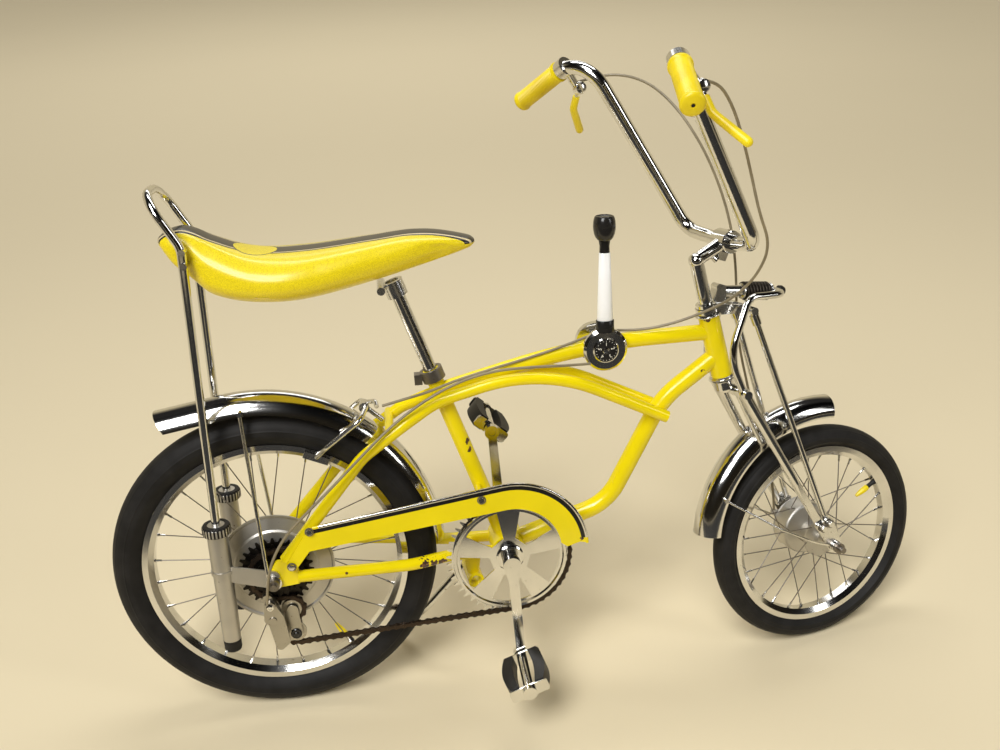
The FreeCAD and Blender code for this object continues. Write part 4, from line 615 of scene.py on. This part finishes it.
# Chain wheels along the run: centre in the side view, pitch radius, and the hand that the chain turns
LOWER_WHEEL = (22.0, -104.0)
CHAIN_WHEELS = (
    ((368.0, -4.0), pitch_radius(48), -1),
    (LOWER_WHEEL, pitch_radius(10), -1),
    ((18.0, -62.0), pitch_radius(10), 1),
    ((0.0, 0.0), pitch_radius(20), -1),
)
LINE_STEP = 1.5


def chain_line():
    """Closely spaced points round the chain's pitch line, in the side view."""
    headings = []
    count = len(CHAIN_WHEELS)
    for index in range(count):
        (x, z), radius, hand = CHAIN_WHEELS[index]
        (next_x, next_z), next_radius, next_hand = CHAIN_WHEELS[(index + 1) % count]
        gap = math.hypot(next_x - x, next_z - z)
        shift = next_hand * next_radius - hand * radius
        headings.append(math.atan2(next_z - z, next_x - x) - math.asin(shift / gap))
    line = []
    for index in range(count):
        (x, z), radius, hand = CHAIN_WHEELS[index]
        arrive = headings[index - 1] - hand * math.pi / 2
        leave = headings[index] - hand * math.pi / 2
        while hand * (leave - arrive) < 0:
            leave += hand * 2 * math.pi
        steps = max(4, int(abs(leave - arrive) * radius / LINE_STEP))
        for step in range(steps + 1):
            turn = arrive + (leave - arrive) * step / steps
            line.append(Vector((x + radius * math.cos(turn), 0, z + radius * math.sin(turn))))
    return line


def side_lengths(line):
    """Length of each side of a closed line."""
    return [(line[(index + 1) % len(line)] - point).length for index, point in enumerate(line)]


def stations(line, count):
    """Evenly spaced points round a closed line."""
    lengths = side_lengths(line)
    total = sum(lengths)
    points = []
    index = 0
    walked = 0.0
    for number in range(count):
        target = total * number / count
        while walked + lengths[index] < target:
            walked += lengths[index]
            index += 1
        share = (target - walked) / lengths[index]
        points.append(line[index].lerp(line[(index + 1) % len(line)], share))
    return points


PLATE_THICK = 0.9
PLATE_RADIUS = 4.0
PLATE_WAIST = 2.4
PLATE_STEPS = 8
# The plates' distance from the chain's middle in the narrow and the wide links
LINK_HALVES = (2.0, 3.1)
ROLLER_ROWS = ((0, -2.4), (3.6, -2.4), (3.6, 2.4), (0, 2.4))
PIN_ROWS = ((0, -4.1), (1.7, -4.1), (1.9, -3.6), (1.9, 3.6), (1.7, 4.1), (0, 4.1))


def link_plate(start, end, depth):
    """One side plate between two pins: two round ends and a narrow waist."""
    way = (end - start).normalized()
    up = Vector((-way.z, 0, way.x))
    outline = []
    for pin, begin, hand in ((start, math.pi / 2, -1), (end, -math.pi / 2, 1)):
        for step in range(PLATE_STEPS + 1):
            turn = begin + math.pi * step / PLATE_STEPS
            outline.append(pin + (way * math.cos(turn) + up * math.sin(turn)) * PLATE_RADIUS)
        outline.append((start + end) / 2 + up * hand * PLATE_WAIST)
    vertices = []
    for offset in (depth - PLATE_THICK / 2, depth + PLATE_THICK / 2):
        vertices.extend(mm((point.x, CHAIN_Y + offset, point.z), BIKE) for point in outline)
    return vertices, tube_faces(2, len(outline))


def add_chain():
    """Chain of narrow and wide links in turn, in place of the plain loop."""
    line = chain_line()
    links = 2 * round(sum(side_lengths(line)) / CHAIN_PITCH / 2)
    pins = stations(line, links)
    plate_parts = []
    roller_parts = []
    for index, pin in enumerate(pins):
        for side in (-1, 1):
            plate_parts.append(link_plate(pin, pins[(index + 1) % links], side * LINK_HALVES[index % 2]))
        centre = (pin.x, CHAIN_Y, pin.z)
        roller_parts.append(turned(ROLLER_ROWS, centre, ACROSS, BIKE, 10))
        roller_parts.append(turned(PIN_ROWS, centre, ACROSS, BIKE, 8))
    plates = add_piece("chain_plates", merged(plate_parts), CHAIN_STEEL, "frame")
    rollers = add_piece("chain_rollers", merged(roller_parts), CHAIN_STEEL, "frame")
    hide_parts("chain")
    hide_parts("chain")


# The chain guard's side view: centre and radius of its round front, and the upper corner of its tail
GUARD_CENTRE = (372.0, 8.0)
GUARD_R = 119.5
GUARD_TAIL = (64.0, 88.0)
GUARD_END = math.radians(8.0)
# Its plate stands at a slant across the bicycle, through these two places
GUARD_REAR = Vector((30.0, -73.5, 28.0))
GUARD_FRONT = Vector((490.0, -60.0, 10.0))
GUARD_TURN = math.atan2(GUARD_FRONT.y - GUARD_REAR.y, GUARD_FRONT.x - GUARD_REAR.x)
RUN_STEPS = 24
ARC_STEPS = 40
# Half section of the black band: distance in from the edge, and out from the plate
BAND_ROWS = ((2.2, 0.8), (2.2, 1.15), (8.6, 1.15), (8.6, 0.8))
EDGE_RADIUS = 0.0029


def guard_point(x, z, depth):
    """Point of the guard's flat side view, a depth out to the right of its plate."""
    along = x - GUARD_REAR.x
    return Vector((GUARD_REAR.x + along * math.cos(GUARD_TURN) + depth * math.sin(GUARD_TURN),
                   GUARD_REAR.y + along * math.sin(GUARD_TURN) - depth * math.cos(GUARD_TURN), z))


def guard_edge(inset):
    """Points along the guard's upper edge, moved in from it: a straight run, then an arc."""
    centre = Vector(GUARD_CENTRE)
    tail = Vector(GUARD_TAIL)
    run = centre - tail
    top = math.atan2(run.y, run.x) + math.asin(GUARD_R / run.length) + math.pi / 2
    outward = Vector((math.cos(top), math.sin(top)))
    radius = GUARD_R - inset
    start = tail - outward * inset
    end = centre + outward * radius
    line = [start.lerp(end, step / RUN_STEPS) for step in range(RUN_STEPS + 1)]
    for step in range(1, ARC_STEPS + 1):
        turn = top + (GUARD_END - top) * step / ARC_STEPS
        line.append(centre + Vector((math.cos(turn), math.sin(turn))) * radius)
    return line


def add_guard_trim():
    """Black band and bright rolled edge on the chain guard."""
    vertices = []
    for inset, depth in BAND_ROWS:
        vertices.extend(mm(guard_point(x, z, depth), BIKE) for x, z in guard_edge(inset))
    count = RUN_STEPS + ARC_STEPS + 1
    faces = []
    for row in range(len(BAND_ROWS) - 1):
        for index in range(count - 1):
            here = row * count + index
            faces.append((here, here + 1, here + count + 1, here + count))
    add_piece("chain_guard_band", (vertices, faces), BLACK_PAINT, "frame")
    edge = [mm(guard_point(x, z, 0), BIKE) for x, z in guard_edge(0)[1:]]
    add_piece("chain_guard_edge", swept(edge, [EDGE_RADIUS] * len(edge), 16), BRIGHT, "frame")


# Places on the left half of the handlebar
GRIP_END = (512, 275, 688)
GRIP_START = (562, 140, 758)
HOOD = (575, 187, 705)
LEVER_PIVOT = (574, 190, 702)
LEVER_BEND = (575, 214, 672)
LEVER_TIP = (602, 252, 637)
# A grip's half section: rounded end, one of its fine ribs, and the collar and bore
GRIP_END_ROWS = ((0, -5.0), (2.4, -5.0), (2.4, -3.6), (3.2, -5.2), (12.0, -5.0), (15.0, -3.4), (15.9, -1.6),
                 (15.9, 1.0), (14.8, 3.0))
GRIP_RIB_ROWS = ((14.1, 0.0), (14.8, 0.7), (14.8, 1.9), (14.1, 2.6))
GRIP_COLLAR_ROWS = ((14.6, 94.5), (16.4, 96), (16.4, 99), (12.0, 100), (11.3, 100), (11.3, 0.2), (0, 0.2))
GRIP_RIBS = 30
GRIP_RIB_START = 5.0
GRIP_RIB_PITCH = 2.96
VENT_ROWS = ((0, -5.05), (2.3, -5.05), (2.3, -4.4), (0, -4.4))
HOOD_ROWS = ((0, -10.5), (5, -10.2), (8.6, -8.4), (10.2, -4.5), (10.4, 0), (10.2, 4.5), (8.6, 8.4), (5, 10.2),
             (0, 10.5))
# Radii of a lever's sleeve in metres: near the pivot, at the tip, and the least in its round end
SLEEVE_THIN = 0.0058
SLEEVE_THICK = 0.0066
SLEEVE_LEAST = 0.0004
SLEEVE_END_STEPS = 5


def add_grip(side, name):
    """Ribbed grip in place of the plain one, with the small vent in its end."""
    end = sided(GRIP_END, side)
    along = (sided(GRIP_START, side) - end).normalized()
    rows = list(GRIP_END_ROWS)
    for rib in range(GRIP_RIBS):
        start = GRIP_RIB_START + rib * GRIP_RIB_PITCH
        rows += [(radius, start + offset) for radius, offset in GRIP_RIB_ROWS]
    rows += GRIP_COLLAR_ROWS
    grip = lathe("grip_rubber_" + name, rows, end, along, FORK_PART, GRIP, 56)
    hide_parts("grip_" + name)
    lathe("grip_vent_" + name, VENT_ROWS, end, along, FORK_PART, BLOCK, 16)


def add_lever_trim(side, name):
    """Rounded hood over the brake lever's pivot, and the yellow sleeve on the lever."""
    lathe("lever_hood_" + name, HOOD_ROWS, sided(HOOD, side), ACROSS, FORK_PART, WORN, 40)
    pivot = sided(LEVER_PIVOT, side)
    bend = sided(LEVER_BEND, side)
    tip = sided(LEVER_TIP, side)
    route = [pivot.lerp(bend, 0.35), pivot.lerp(bend, 0.75), bend]
    route += [bend.lerp(tip, 0.35), bend.lerp(tip, 0.75), tip]
    path = smooth_line([mm(point, FORK) for point in route], "lever_line")
    last = len(path) - 1
    radii = [SLEEVE_THIN + (SLEEVE_THICK - SLEEVE_THIN) * index / last for index in range(last + 1)]
    tip_way = (path[last] - path[last - 1]).normalized()
    for step in range(1, SLEEVE_END_STEPS + 1):
        turn = math.pi / 2 * step / SLEEVE_END_STEPS
        path.append(path[last] + tip_way * (SLEEVE_THICK * math.sin(turn)))
        radii.append(max(SLEEVE_LEAST, SLEEVE_THICK * math.cos(turn)))
    add_piece("lever_sleeve_" + name, swept(path, radii, 20), GRIP, "steering", 60)


# Gear dial: its place on the shifter's right face, and its half sections
DIAL = Vector((530.0, -31.0, 322.0))
DIAL_ROWS = ((0, 0), (17.6, 0), (17.6, 0.5), (16.8, 0.9), (0, 0.9))
DIAL_BOLT_ROWS = ((0, 0.8), (5.4, 0.8), (5.4, 2.2), (4.6, 3.2), (3.4, 3.4), (3.0, 2.6), (0, 2.6))
# Ticks and numbers: how many, lift from the plate, reach from the centre, and size
TICKS = 20
TICK_LIFT = Vector((0, -1.05, 0))
TICK_CORNERS = ((14.6, -0.25), (16.2, -0.25), (16.2, 0.25), (14.6, 0.25))
GEARS = 5
NUMBER_LIFT = Vector((0, -1.1, 0))
NUMBER_REACH = 10.2
NUMBER_SIZE = 0.0078


def add_dial():
    """Black dial with its bolt and ticks."""
    lathe("shifter_dial", DIAL_ROWS, DIAL, ACROSS_RIGHT, FRAME_PART, DARK_PLASTIC, 64)
    lathe("shifter_bolt", DIAL_BOLT_ROWS, DIAL, ACROSS_RIGHT, FRAME_PART, BRIGHT, 36)
    ticks = []
    for tick in range(TICKS):
        turn = 2 * math.pi * tick / TICKS
        out = Vector((math.cos(turn), 0, math.sin(turn)))
        side = Vector((-out.z, 0, out.x))
        corners = [mm(DIAL + TICK_LIFT + out * reach + side * lean, BIKE) for reach, lean in TICK_CORNERS]
        ticks.append((corners, [(0, 1, 2, 3)]))
    add_piece("shifter_ticks", merged(ticks), IVORY, "frame")


def add_dial_numbers():
    """Plain gear numbers clockwise round the dial, from the top."""
    for number in range(GEARS):
        name = "shifter_number_%d" % (number + 1)
        turn = math.pi / 2 - 2 * math.pi * number / GEARS
        data = bpy.data.curves.new(name, "FONT")
        data.body = str(number + 1)
        data.size = NUMBER_SIZE
        data.align_x = "CENTER"
        data.align_y = "CENTER"
        data.materials.append(IVORY)
        digit = placed(name, data)
        spot = DIAL + NUMBER_LIFT + Vector((math.cos(turn), 0, math.sin(turn))) * NUMBER_REACH
        upright = Matrix.Rotation(math.pi / 2 - turn, 4, "Y") @ Matrix.Rotation(math.pi / 2, 4, "X")
        digit.matrix_world = BIKE @ Matrix.Translation(spot / 1000) @ upright
        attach(digit, "frame")


# The gear lever is an oval bar, turned round and drawn out along the bicycle.
# Row: name, material, half section up from the lever's base, steps round
LEVER_BASE = (530.0, -23.0, 322.0)
LEVER_OVAL = 1.32
LEVER_PIECES = (
    ("shift_lever_socket", DARK_PLASTIC,
     ((10.4, 27.8), (10.6, 28), (10.6, 46), (10.2, 46.6), (8.9, 46.6), (8.9, 27.8)), 48),
    # The sleeve's white is a painted highlight of its chrome
    ("shift_lever_sleeve", PAINTED_HIGHLIGHT_WHITE,
     ((9.1, 46.6), (9.3, 47.4), (6.6, 149.4), (6.2, 150), (5.2, 150), (7.2, 46.6)), 56),
    ("shift_lever_neck", DARK_PLASTIC,
     ((5.4, 149.8), (5.9, 150.4), (5.6, 160), (6.6, 168), (5.2, 168), (5.1, 150)), 48),
)
KNOB_ROWS = ((0, 168), (8.2, 168), (10.6, 169.6), (13.2, 173), (15.4, 178.5), (16.6, 185), (16.8, 191),
             (16.2, 197), (15.2, 201.5), (14.2, 203.8), (12.8, 204.8), (11.6, 204.4), (10.6, 203.6),
             (0, 203.2))


def add_shift_lever():
    """Lever in its black sockets, its chrome sleeve painted white all over as a painted highlight, with a
    barrel-shaped knob in place of the plain one.
    """
    oval = stretched(LEVER_BASE, LEVER_OVAL, 1)
    for name, material, rows, steps in LEVER_PIECES:
        lathe(name, rows, LEVER_BASE, UPRIGHT, (oval, "frame"), material, steps)
    knob = lathe("shift_knob_barrel", KNOB_ROWS, LEVER_BASE, UPRIGHT, FRAME_PART, DARK_PLASTIC,
                 64)
    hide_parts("shift_knob")


# Fork spring: half sections from the yoke forward, and the coil's turns, places and radii
SPRING_START = Vector((724, 0, 391.9))
SPRING_WAY = (Vector((833, 0, 379.7)) - SPRING_START).normalized()
CORE_ROWS = ((0, 0.1), (9, 0.1), (9, 30), (12, 32), (12, 34), (10.2, 34.4), (10.2, 81.6), (12, 82), (13, 84),
             (11, 87.5), (4, 87.5), (4, 101), (8, 101.2), (8, 106), (6, 110), (0, 110))
TIP_ROWS = ((0, 100.8), (8.3, 100.8), (8.5, 101.4), (8.5, 106), (6.4, 110.2), (0, 110.4))
COIL_TURNS = 8
COIL_STEPS = 24
COIL_START = 35.6
COIL_LENGTH = 45.2
COIL_RADIUS = 12.6
WIRE_RADIUS = 0.0024


def coil_line():
    """Points along the spring's wire."""
    first = SPRING_WAY.orthogonal().normalized()
    second = SPRING_WAY.cross(first)
    line = []
    count = COIL_TURNS * COIL_STEPS
    for step in range(count + 1):
        turn = 2 * math.pi * step / COIL_STEPS
        centre = SPRING_START + SPRING_WAY * (COIL_START + COIL_LENGTH * step / count)
        line.append(mm(centre + (first * math.cos(turn) + second * math.sin(turn)) * COIL_RADIUS, FORK))
    return line


def add_fork_spring():
    """Dark coil round a core, in place of the ribbed solid, and a black tip."""
    core = lathe("spring_core", CORE_ROWS, SPRING_START, SPRING_WAY, FORK_PART, WORN, 48)
    line = coil_line()
    wire = swept(line, [WIRE_RADIUS] * len(line), 12)
    coil = add_piece("spring_coil", wire, DARK_SPRING, "steering")
    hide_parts("spring")
    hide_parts("spring")
    lathe("spring_tip", TIP_ROWS, SPRING_START, SPRING_WAY, FORK_PART, DARK_PLASTIC, 32)


# Struts: the left one's axis beside the hub, and half sections up from there
STRUT = (-76, 62, 0)
STRUT_CAP_ROWS = ((15.9, 88.6), (20.6, 88.9), (21.5, 90.4), (21.5, 101.4), (19.4, 104.4), (13, 104.4),
                  (13, 103.9), (15.9, 103))
STRUT_CAP_RIBS = (24, 0.9, 1, 3)
STRUT_END_ROWS = ((13.9, -94.8), (13.5, -95.6), (13.5, -110.2), (12.4, -113.4), (0, -113.5), (0, -113),
                  (12.5, -112))


def add_strut_trim():
    """Black ribbed caps at the top of the struts and plain black ends below."""
    for side, name in SIDES:
        foot = sided(STRUT, side)
        lathe("strut_cap_" + name, STRUT_CAP_ROWS, foot, UPRIGHT, FRAME_PART, BLOCK, 144,
              STRUT_CAP_RIBS)
        lathe("strut_end_" + name, STRUT_END_ROWS, foot, UPRIGHT, FRAME_PART, BLOCK, 48)


PIVOT_PLACE = (-9.0, -82.0, -36.0)
PIVOT_ROWS = ((0, 0), (6.2, 0), (6.2, 1.6), (5.2, 2.6), (3.0, 2.8), (2.6, 1.8), (0, 1.8))
WHEEL_CAP_PLACE = (LOWER_WHEEL[0], -53.3, LOWER_WHEEL[1])
WHEEL_CAP_ROWS = ((0, 0), (8.8, 0), (8.8, 1.2), (7.6, 2.2), (4.2, 2.2), (4.2, 3.4), (3.2, 4.2), (0, 4.2))


def add_derailleur_trim():
    """Bolt head at the derailleur's pivot and a black cap on its lower wheel."""
    lathe("derailleur_bolts", PIVOT_ROWS, PIVOT_PLACE, ACROSS_RIGHT, FRAME_PART, BRIGHT, 6)
    lathe("derailleur_wheel_cap", WHEEL_CAP_ROWS, WHEEL_CAP_PLACE, ACROSS_RIGHT, FRAME_PART, DARK_PLASTIC,
          36)


# Bolts on the chain guard's bosses, and on the left rocker, mirrored on the right one
GUARD_BOLTS = (("rear", (30.0, -76.4, 28.0)), ("upper", (62.0, -75.4, 84.0)),
               ("front", (326.0, -65.9, 107.0)))
ROCKER_BOLTS = (("rear", (876.0, 67.9, -13.0)), ("front", (889.0, 67.9, -7.0)))
HEAD_ROWS = ((0, 0), (5.6, 0), (5.6, 2.6), (4.9, 3.4), (0, 3.6))
WASHER_ROWS = ((0, -0.4), (7.0, -0.4), (7.0, 0.5), (0, 0.5))


def add_bolt(name, place, side, carrier):
    """Hexagonal head on its washer."""
    lathe(name, HEAD_ROWS, place, (0, side, 0), carrier, BRIGHT, 6)
    lathe(name + "_washer", WASHER_ROWS, place, (0, side, 0), carrier, DULL, 28)


def add_bolts():
    """Bolts of the chain guard and of both rockers."""
    for which, place in GUARD_BOLTS:
        add_bolt("guard_bolt_" + which, place, -1, FRAME_PART)
    for side, name in SIDES:
        for which, place in ROCKER_BOLTS:
            add_bolt("rocker_bolt_%s_%s" % (which, name), sided(place, side), side, FORK_PART)


WEB_PLACE = (311.0, -9.0, -49.2)
WEB_THIN = 0.4
WEB_ROWS = ((0, 0), (9.5, 0), (10.5, 6), (13, 26), (15.4, 40), (16, 45), (0, 45))
CROSS_PLACE = (308.0, 0.0, -6.0)
CROSS_ROWS = ((0, -21), (8, -21), (8, -15), (8.8, -14), (8.8, -3), (8.8, 3), (8.8, 14), (8, 15), (8, 21),
              (0, 21))


def add_stand_carrier():
    """Tube between the chain stays, and the web that carries the stand's housing below it."""
    flat = (stretched(WEB_PLACE, 1, WEB_THIN), "frame")
    lathe("stand_web", WEB_ROWS, WEB_PLACE, UPRIGHT, flat, PAINT, 48)
    lathe("stand_cross_tube", CROSS_ROWS, CROSS_PLACE, ACROSS, FRAME_PART, PAINT, 48)


# Seat: padded shell in place of the plain solid. Row: x, underside height, top height, half width
SEAT_SECTIONS = (
    (-107, 528, 534, 10), (-104, 524, 538, 22), (-88, 497, 545, 36), (-66, 476, 545, 43), (-36, 449, 524, 58),
    (20, 434, 503, 75), (90, 434, 500, 79), (190, 457, 509, 61), (270, 477, 517, 42), (330, 494, 510, 22),
    (339, 500, 505, 9),
)
SEAT_RINGS = 72
SEAT_ROUND = 44
# How much the rings crowd to the ends, the widest line's share of the height, and the slack width
SEAT_CROWD = 0.55
SEAT_BELT = 0.52
SEAT_SLACK = 0.985
# Powers that make the section fuller than an ellipse
WIDTH_POWER = 0.80
TOP_POWER = 0.92
UNDER_POWER = 0.78
# The furthest that the cover may swell, in metres, and the frames that it takes
SWELL = 0.004
SWELL_FRAMES = 20


def seat_size(x):
    """Underside, top and half width of the seat at a place along it, eased between the rows."""
    rows = SEAT_SECTIONS
    index = max(0, min(len(rows) - 2, sum(1 for row in rows if row[0] <= x) - 1))
    before = rows[max(0, index - 1)]
    first = rows[index]
    last = rows[index + 1]
    after = rows[min(len(rows) - 1, index + 2)]
    run = last[0] - first[0]
    share = (x - first[0]) / run
    square = share ** 2
    cube = share ** 3
    sizes = []
    for column in (1, 2, 3):
        slope_first = (last[column] - before[column]) / (last[0] - before[0]) * run
        slope_last = (after[column] - first[column]) / (after[0] - first[0]) * run
        sizes.append((2 * cube - 3 * square + 1) * first[column] + (cube - 2 * square + share) * slope_first
                     + (3 * square - 2 * cube) * last[column] + (cube - square) * slope_last)
    return sizes


def seat_shell():
    """Closed grid round the seat, slightly slack so that it can swell."""
    vertices = []
    rear = SEAT_SECTIONS[0][0]
    length = SEAT_SECTIONS[-1][0] - rear
    for ring in range(SEAT_RINGS + 1):
        eased = (1 - math.cos(math.pi * ring / SEAT_RINGS)) / 2
        x = rear + length * (SEAT_CROWD * eased + (1 - SEAT_CROWD) * ring / SEAT_RINGS)
        low, high, half = seat_size(x)
        belt = low + (high - low) * SEAT_BELT
        for corner in range(SEAT_ROUND):
            turn = 2 * math.pi * corner / SEAT_ROUND
            across = half * math.copysign(abs(math.cos(turn)) ** WIDTH_POWER, math.cos(turn))
            if math.sin(turn) >= 0:
                up = belt + (high - belt) * math.sin(turn) ** TOP_POWER
            else:
                up = belt - (belt - low) * abs(math.sin(turn)) ** UNDER_POWER
            vertices.append(mm((x, across * SEAT_SLACK, up), BIKE))
    return vertices, tube_faces(SEAT_RINGS + 1, SEAT_ROUND)


def swell(piece):
    """Let the pad's cover blow up a little against its own stretch, then cap how far it went."""
    rest = [vertex.co.copy() for vertex in piece.data.vertices]
    cloth = piece.modifiers.new("Swell", "CLOTH")
    settings = cloth.settings
    settings.quality = 5
    settings.mass = 0.4
    settings.tension_stiffness = 30
    settings.compression_stiffness = 30
    settings.bending_stiffness = 4
    settings.use_pressure = True
    settings.uniform_pressure_force = 4
    settings.effector_weights.gravity = 0
    cloth.collision_settings.use_collision = False
    scene = bpy.context.scene
    for number in range(1, SWELL_FRAMES + 1):
        scene.frame_set(number)
    evaluated = piece.evaluated_get(bpy.context.evaluated_depsgraph_get())
    blown = [vertex.co.copy() for vertex in evaluated.data.vertices]
    piece.modifiers.remove(cloth)
    scene.frame_set(1)
    for vertex, start, end in zip(piece.data.vertices, rest, blown):
        move = end - start
        if move.length > SWELL:
            move = move * (SWELL / move.length)
        vertex.co = start + move


def add_seat():
    """Soft vinyl cover in place of the plain seat."""
    seat = add_piece("seat_cover", seat_shell(), SEAT_VINYL, None, 75)
    swell(seat)
    smooth = seat.modifiers.new("Smooth", "SUBSURF")
    smooth.levels = 1
    smooth.render_levels = 1
    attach(seat, "frame")
    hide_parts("seat")


def steered(point):
    """Place in the upright bicycle of a point that turns with the fork."""
    return (TURN @ (Vector(point) / 1000)) * 1000


# Cable routes, from the brake lever or the shifter to the brake or the derailleur
CABLE_RADIUS = 0.0021
REAR_CABLE = [steered((566, -190, 712)), steered((600, -181, 712)), steered((634, -165, 680)),
              steered((664, -146, 630)), steered((692, -124, 578)), (730, -114, 536), (755, -98, 484),
              (746, -76, 436), (720, -54, 398), (680, -36, 373), (634, -22, 354), (588, -8, 343),
              (532, 0, 345.5), (474, -10, 329), (412, -12, 313), (352, -17, 301), (300, -20, 289),
              (258, -26, 276), (218, -32, 269), (186, -33, 262)]
FRONT_CABLE = [(566, 190, 712), (604, 184, 722), (640, 160, 722), (668, 122, 706), (692, 82, 668),
               (716, 50, 612), (738, 36, 552), (757, 34, 492), (770, 40, 436), (777, 46, 380), (780, 50, 326),
               (790, 52, 270), (803, 51, 216), (815, 50, 160), (833, 48, 104), (848, 46, 56), (855, 45.5, 14),
               (859, 48.5, -22)]
SHIFT_CABLE = [(506, -28, 302), (462, -34, 304), (410, -37, 307), (352, -36, 305), (296, -37, 290),
               (242, -45, 265), (194, -55, 234), (150, -64, 196), (108, -72, 158), (66, -80, 122),
               (28, -86, 88), (4, -89, 50), (-8, -89, 10), (-12, -86, -26)]
# Row: node, route, the frame of the route, body
CABLES = (
    ("rear_brake_cable", REAR_CABLE, BIKE, None),
    ("front_brake_cable", FRONT_CABLE, FORK, "steering"),
    ("shift_cable", SHIFT_CABLE, BIKE, "frame"),
)


def add_cables():
    """Smooth housings in place of the stiff ones. The one without a body is baked in place, its front part
    laid out with the fork turned.
    """
    for node, points, group, body in CABLES:
        line = smooth_line([mm(point, group) for point in points], node + "_line")
        tube = swept(line, [CABLE_RADIUS] * len(line), 14)
        housing = add_piece(node + "_housing", tube, HOUSING, body, 60)
        if body is None:
            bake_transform(housing)
        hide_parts(node)


def add_camera():
    """Camera at the photograph's place, angle and lens."""
    turn = Matrix.Rotation(VIEW_AZIMUTH, 4, "Z") @ Matrix.Rotation(math.pi / 2 - VIEW_HEIGHT, 4, "X")
    aim = BIKE @ Matrix.Translation(VIEW_TARGET) @ turn @ Matrix.Rotation(VIEW_ROLL, 4, "Z")
    data = bpy.data.cameras.new("photo_camera")
    data.lens = LENS
    data.sensor_width = SENSOR
    data.sensor_fit = "HORIZONTAL"
    camera = placed("photo_camera", data)
    camera.matrix_world = aim @ Matrix.Translation((0, 0, VIEW_DISTANCE))
    bpy.context.scene.camera = camera


def add_floor():
    """Plain seamless floor."""
    bpy.ops.mesh.primitive_plane_add(size=60, location=(0, 0, 0))
    floor = bpy.context.object
    floor.name = "studio_floor"
    floor.data.materials.append(matt("studio_paper", 0.9, 0.6, tinted(FLOOR_COLOUR, 0.985), FLOOR_COLOUR))


def add_flag():
    """Dark cloth in front of the paper's edge, which shows in the plating alone."""
    bpy.ops.mesh.primitive_plane_add(size=1, location=(0, -5.0, 0.004))
    flag = bpy.context.object
    flag.name = "studio_flag"
    flag.scale = (16, 8.3, 1)
    flag.data.materials.append(matt("flag_cloth", 1.0, 3.0, FLAG_DARK, FLAG_LIGHT))
    flag.visible_camera = False
    flag.visible_diffuse = False
    flag.visible_shadow = False
    flag.visible_transmission = False


# Soft boxes: name, place, point aimed at, width, height, power in watts
SOFT_BOXES = (
    ("key_box", (-1.5, -2.4, 2.6), (0.0, 0.0, 0.3), 1.3, 0.9, 54),
    ("fill_box", (2.6, -1.8, 2.0), (0.1, 0.0, 0.4), 0.5, 1.6, 16),
    ("top_box", (0.2, 0.9, 3.0), (0.0, 0.0, 0.3), 2.2, 0.5, 26),
    ("sweep_box", (0.0, 6.0, 4.6), (0.0, 6.6, 0.0), 5.0, 3.0, 95),
)
SUN_PLACE = (-1.2, -1.7, 3.2)
SUN_POWER = 1.75
SUN_ANGLE = math.radians(24)


def add_lamp(data, place, aim):
    """Lamp at a place, aimed at a point."""
    lamp = placed(data.name, data)
    lamp.location = place
    lamp.rotation_euler = (Vector(aim) - Vector(place)).to_track_quat("-Z", "Y").to_euler()


def add_lights():
    """Soft boxes and one broad sun."""
    for name, place, aim, width, height, power in SOFT_BOXES:
        data = bpy.data.lights.new(name, "AREA")
        data.shape = "RECTANGLE"
        data.size = width
        data.size_y = height
        data.energy = power
        add_lamp(data, place, aim)
    data = bpy.data.lights.new("broad_light", "SUN")
    data.energy = SUN_POWER
    data.angle = SUN_ANGLE
    add_lamp(data, SUN_PLACE, (0, 0, 0))


def add_room():
    """Pale to the camera's sight, and in reflections a pale sweep behind with a dark room in front."""
    tree = Tree(bpy.data.worlds.new("studio_world"))
    way = tree.split(tree.nodes.new("ShaderNodeTexCoord").outputs["Generated"])
    height = tree.ramp(way["Z"], (0.30, SWEEP_PALE), (0.66, ROOM_DARK))
    behind = tree.ramp(way["Y"], (0.0, FRONT_DARK), (0.22, ON))
    sight = tree.nodes.new("ShaderNodeLightPath").outputs["Is Camera Ray"]
    room = tree.mix(1.0, height, behind, "MULTIPLY")
    tree.feed(tree.nodes["Background"].inputs["Color"], tree.mix(sight, room, SIGHT_PALE))
    bpy.context.scene.world = tree.owner
    bpy.context.scene.view_settings.view_transform = "Standard"


finish_nodes()
add_tyres()
add_spoke_nipples()
add_valves()
add_chain()
add_guard_trim()
for side, name in SIDES:
    add_grip(side, name)
    add_lever_trim(side, name)
add_dial()
add_dial_numbers()
add_shift_lever()
add_fork_spring()
add_strut_trim()
add_derailleur_trim()
add_bolts()
add_stand_carrier()
add_seat()
add_cables()
add_camera()
add_floor()
add_flag()
add_lights()
add_room()
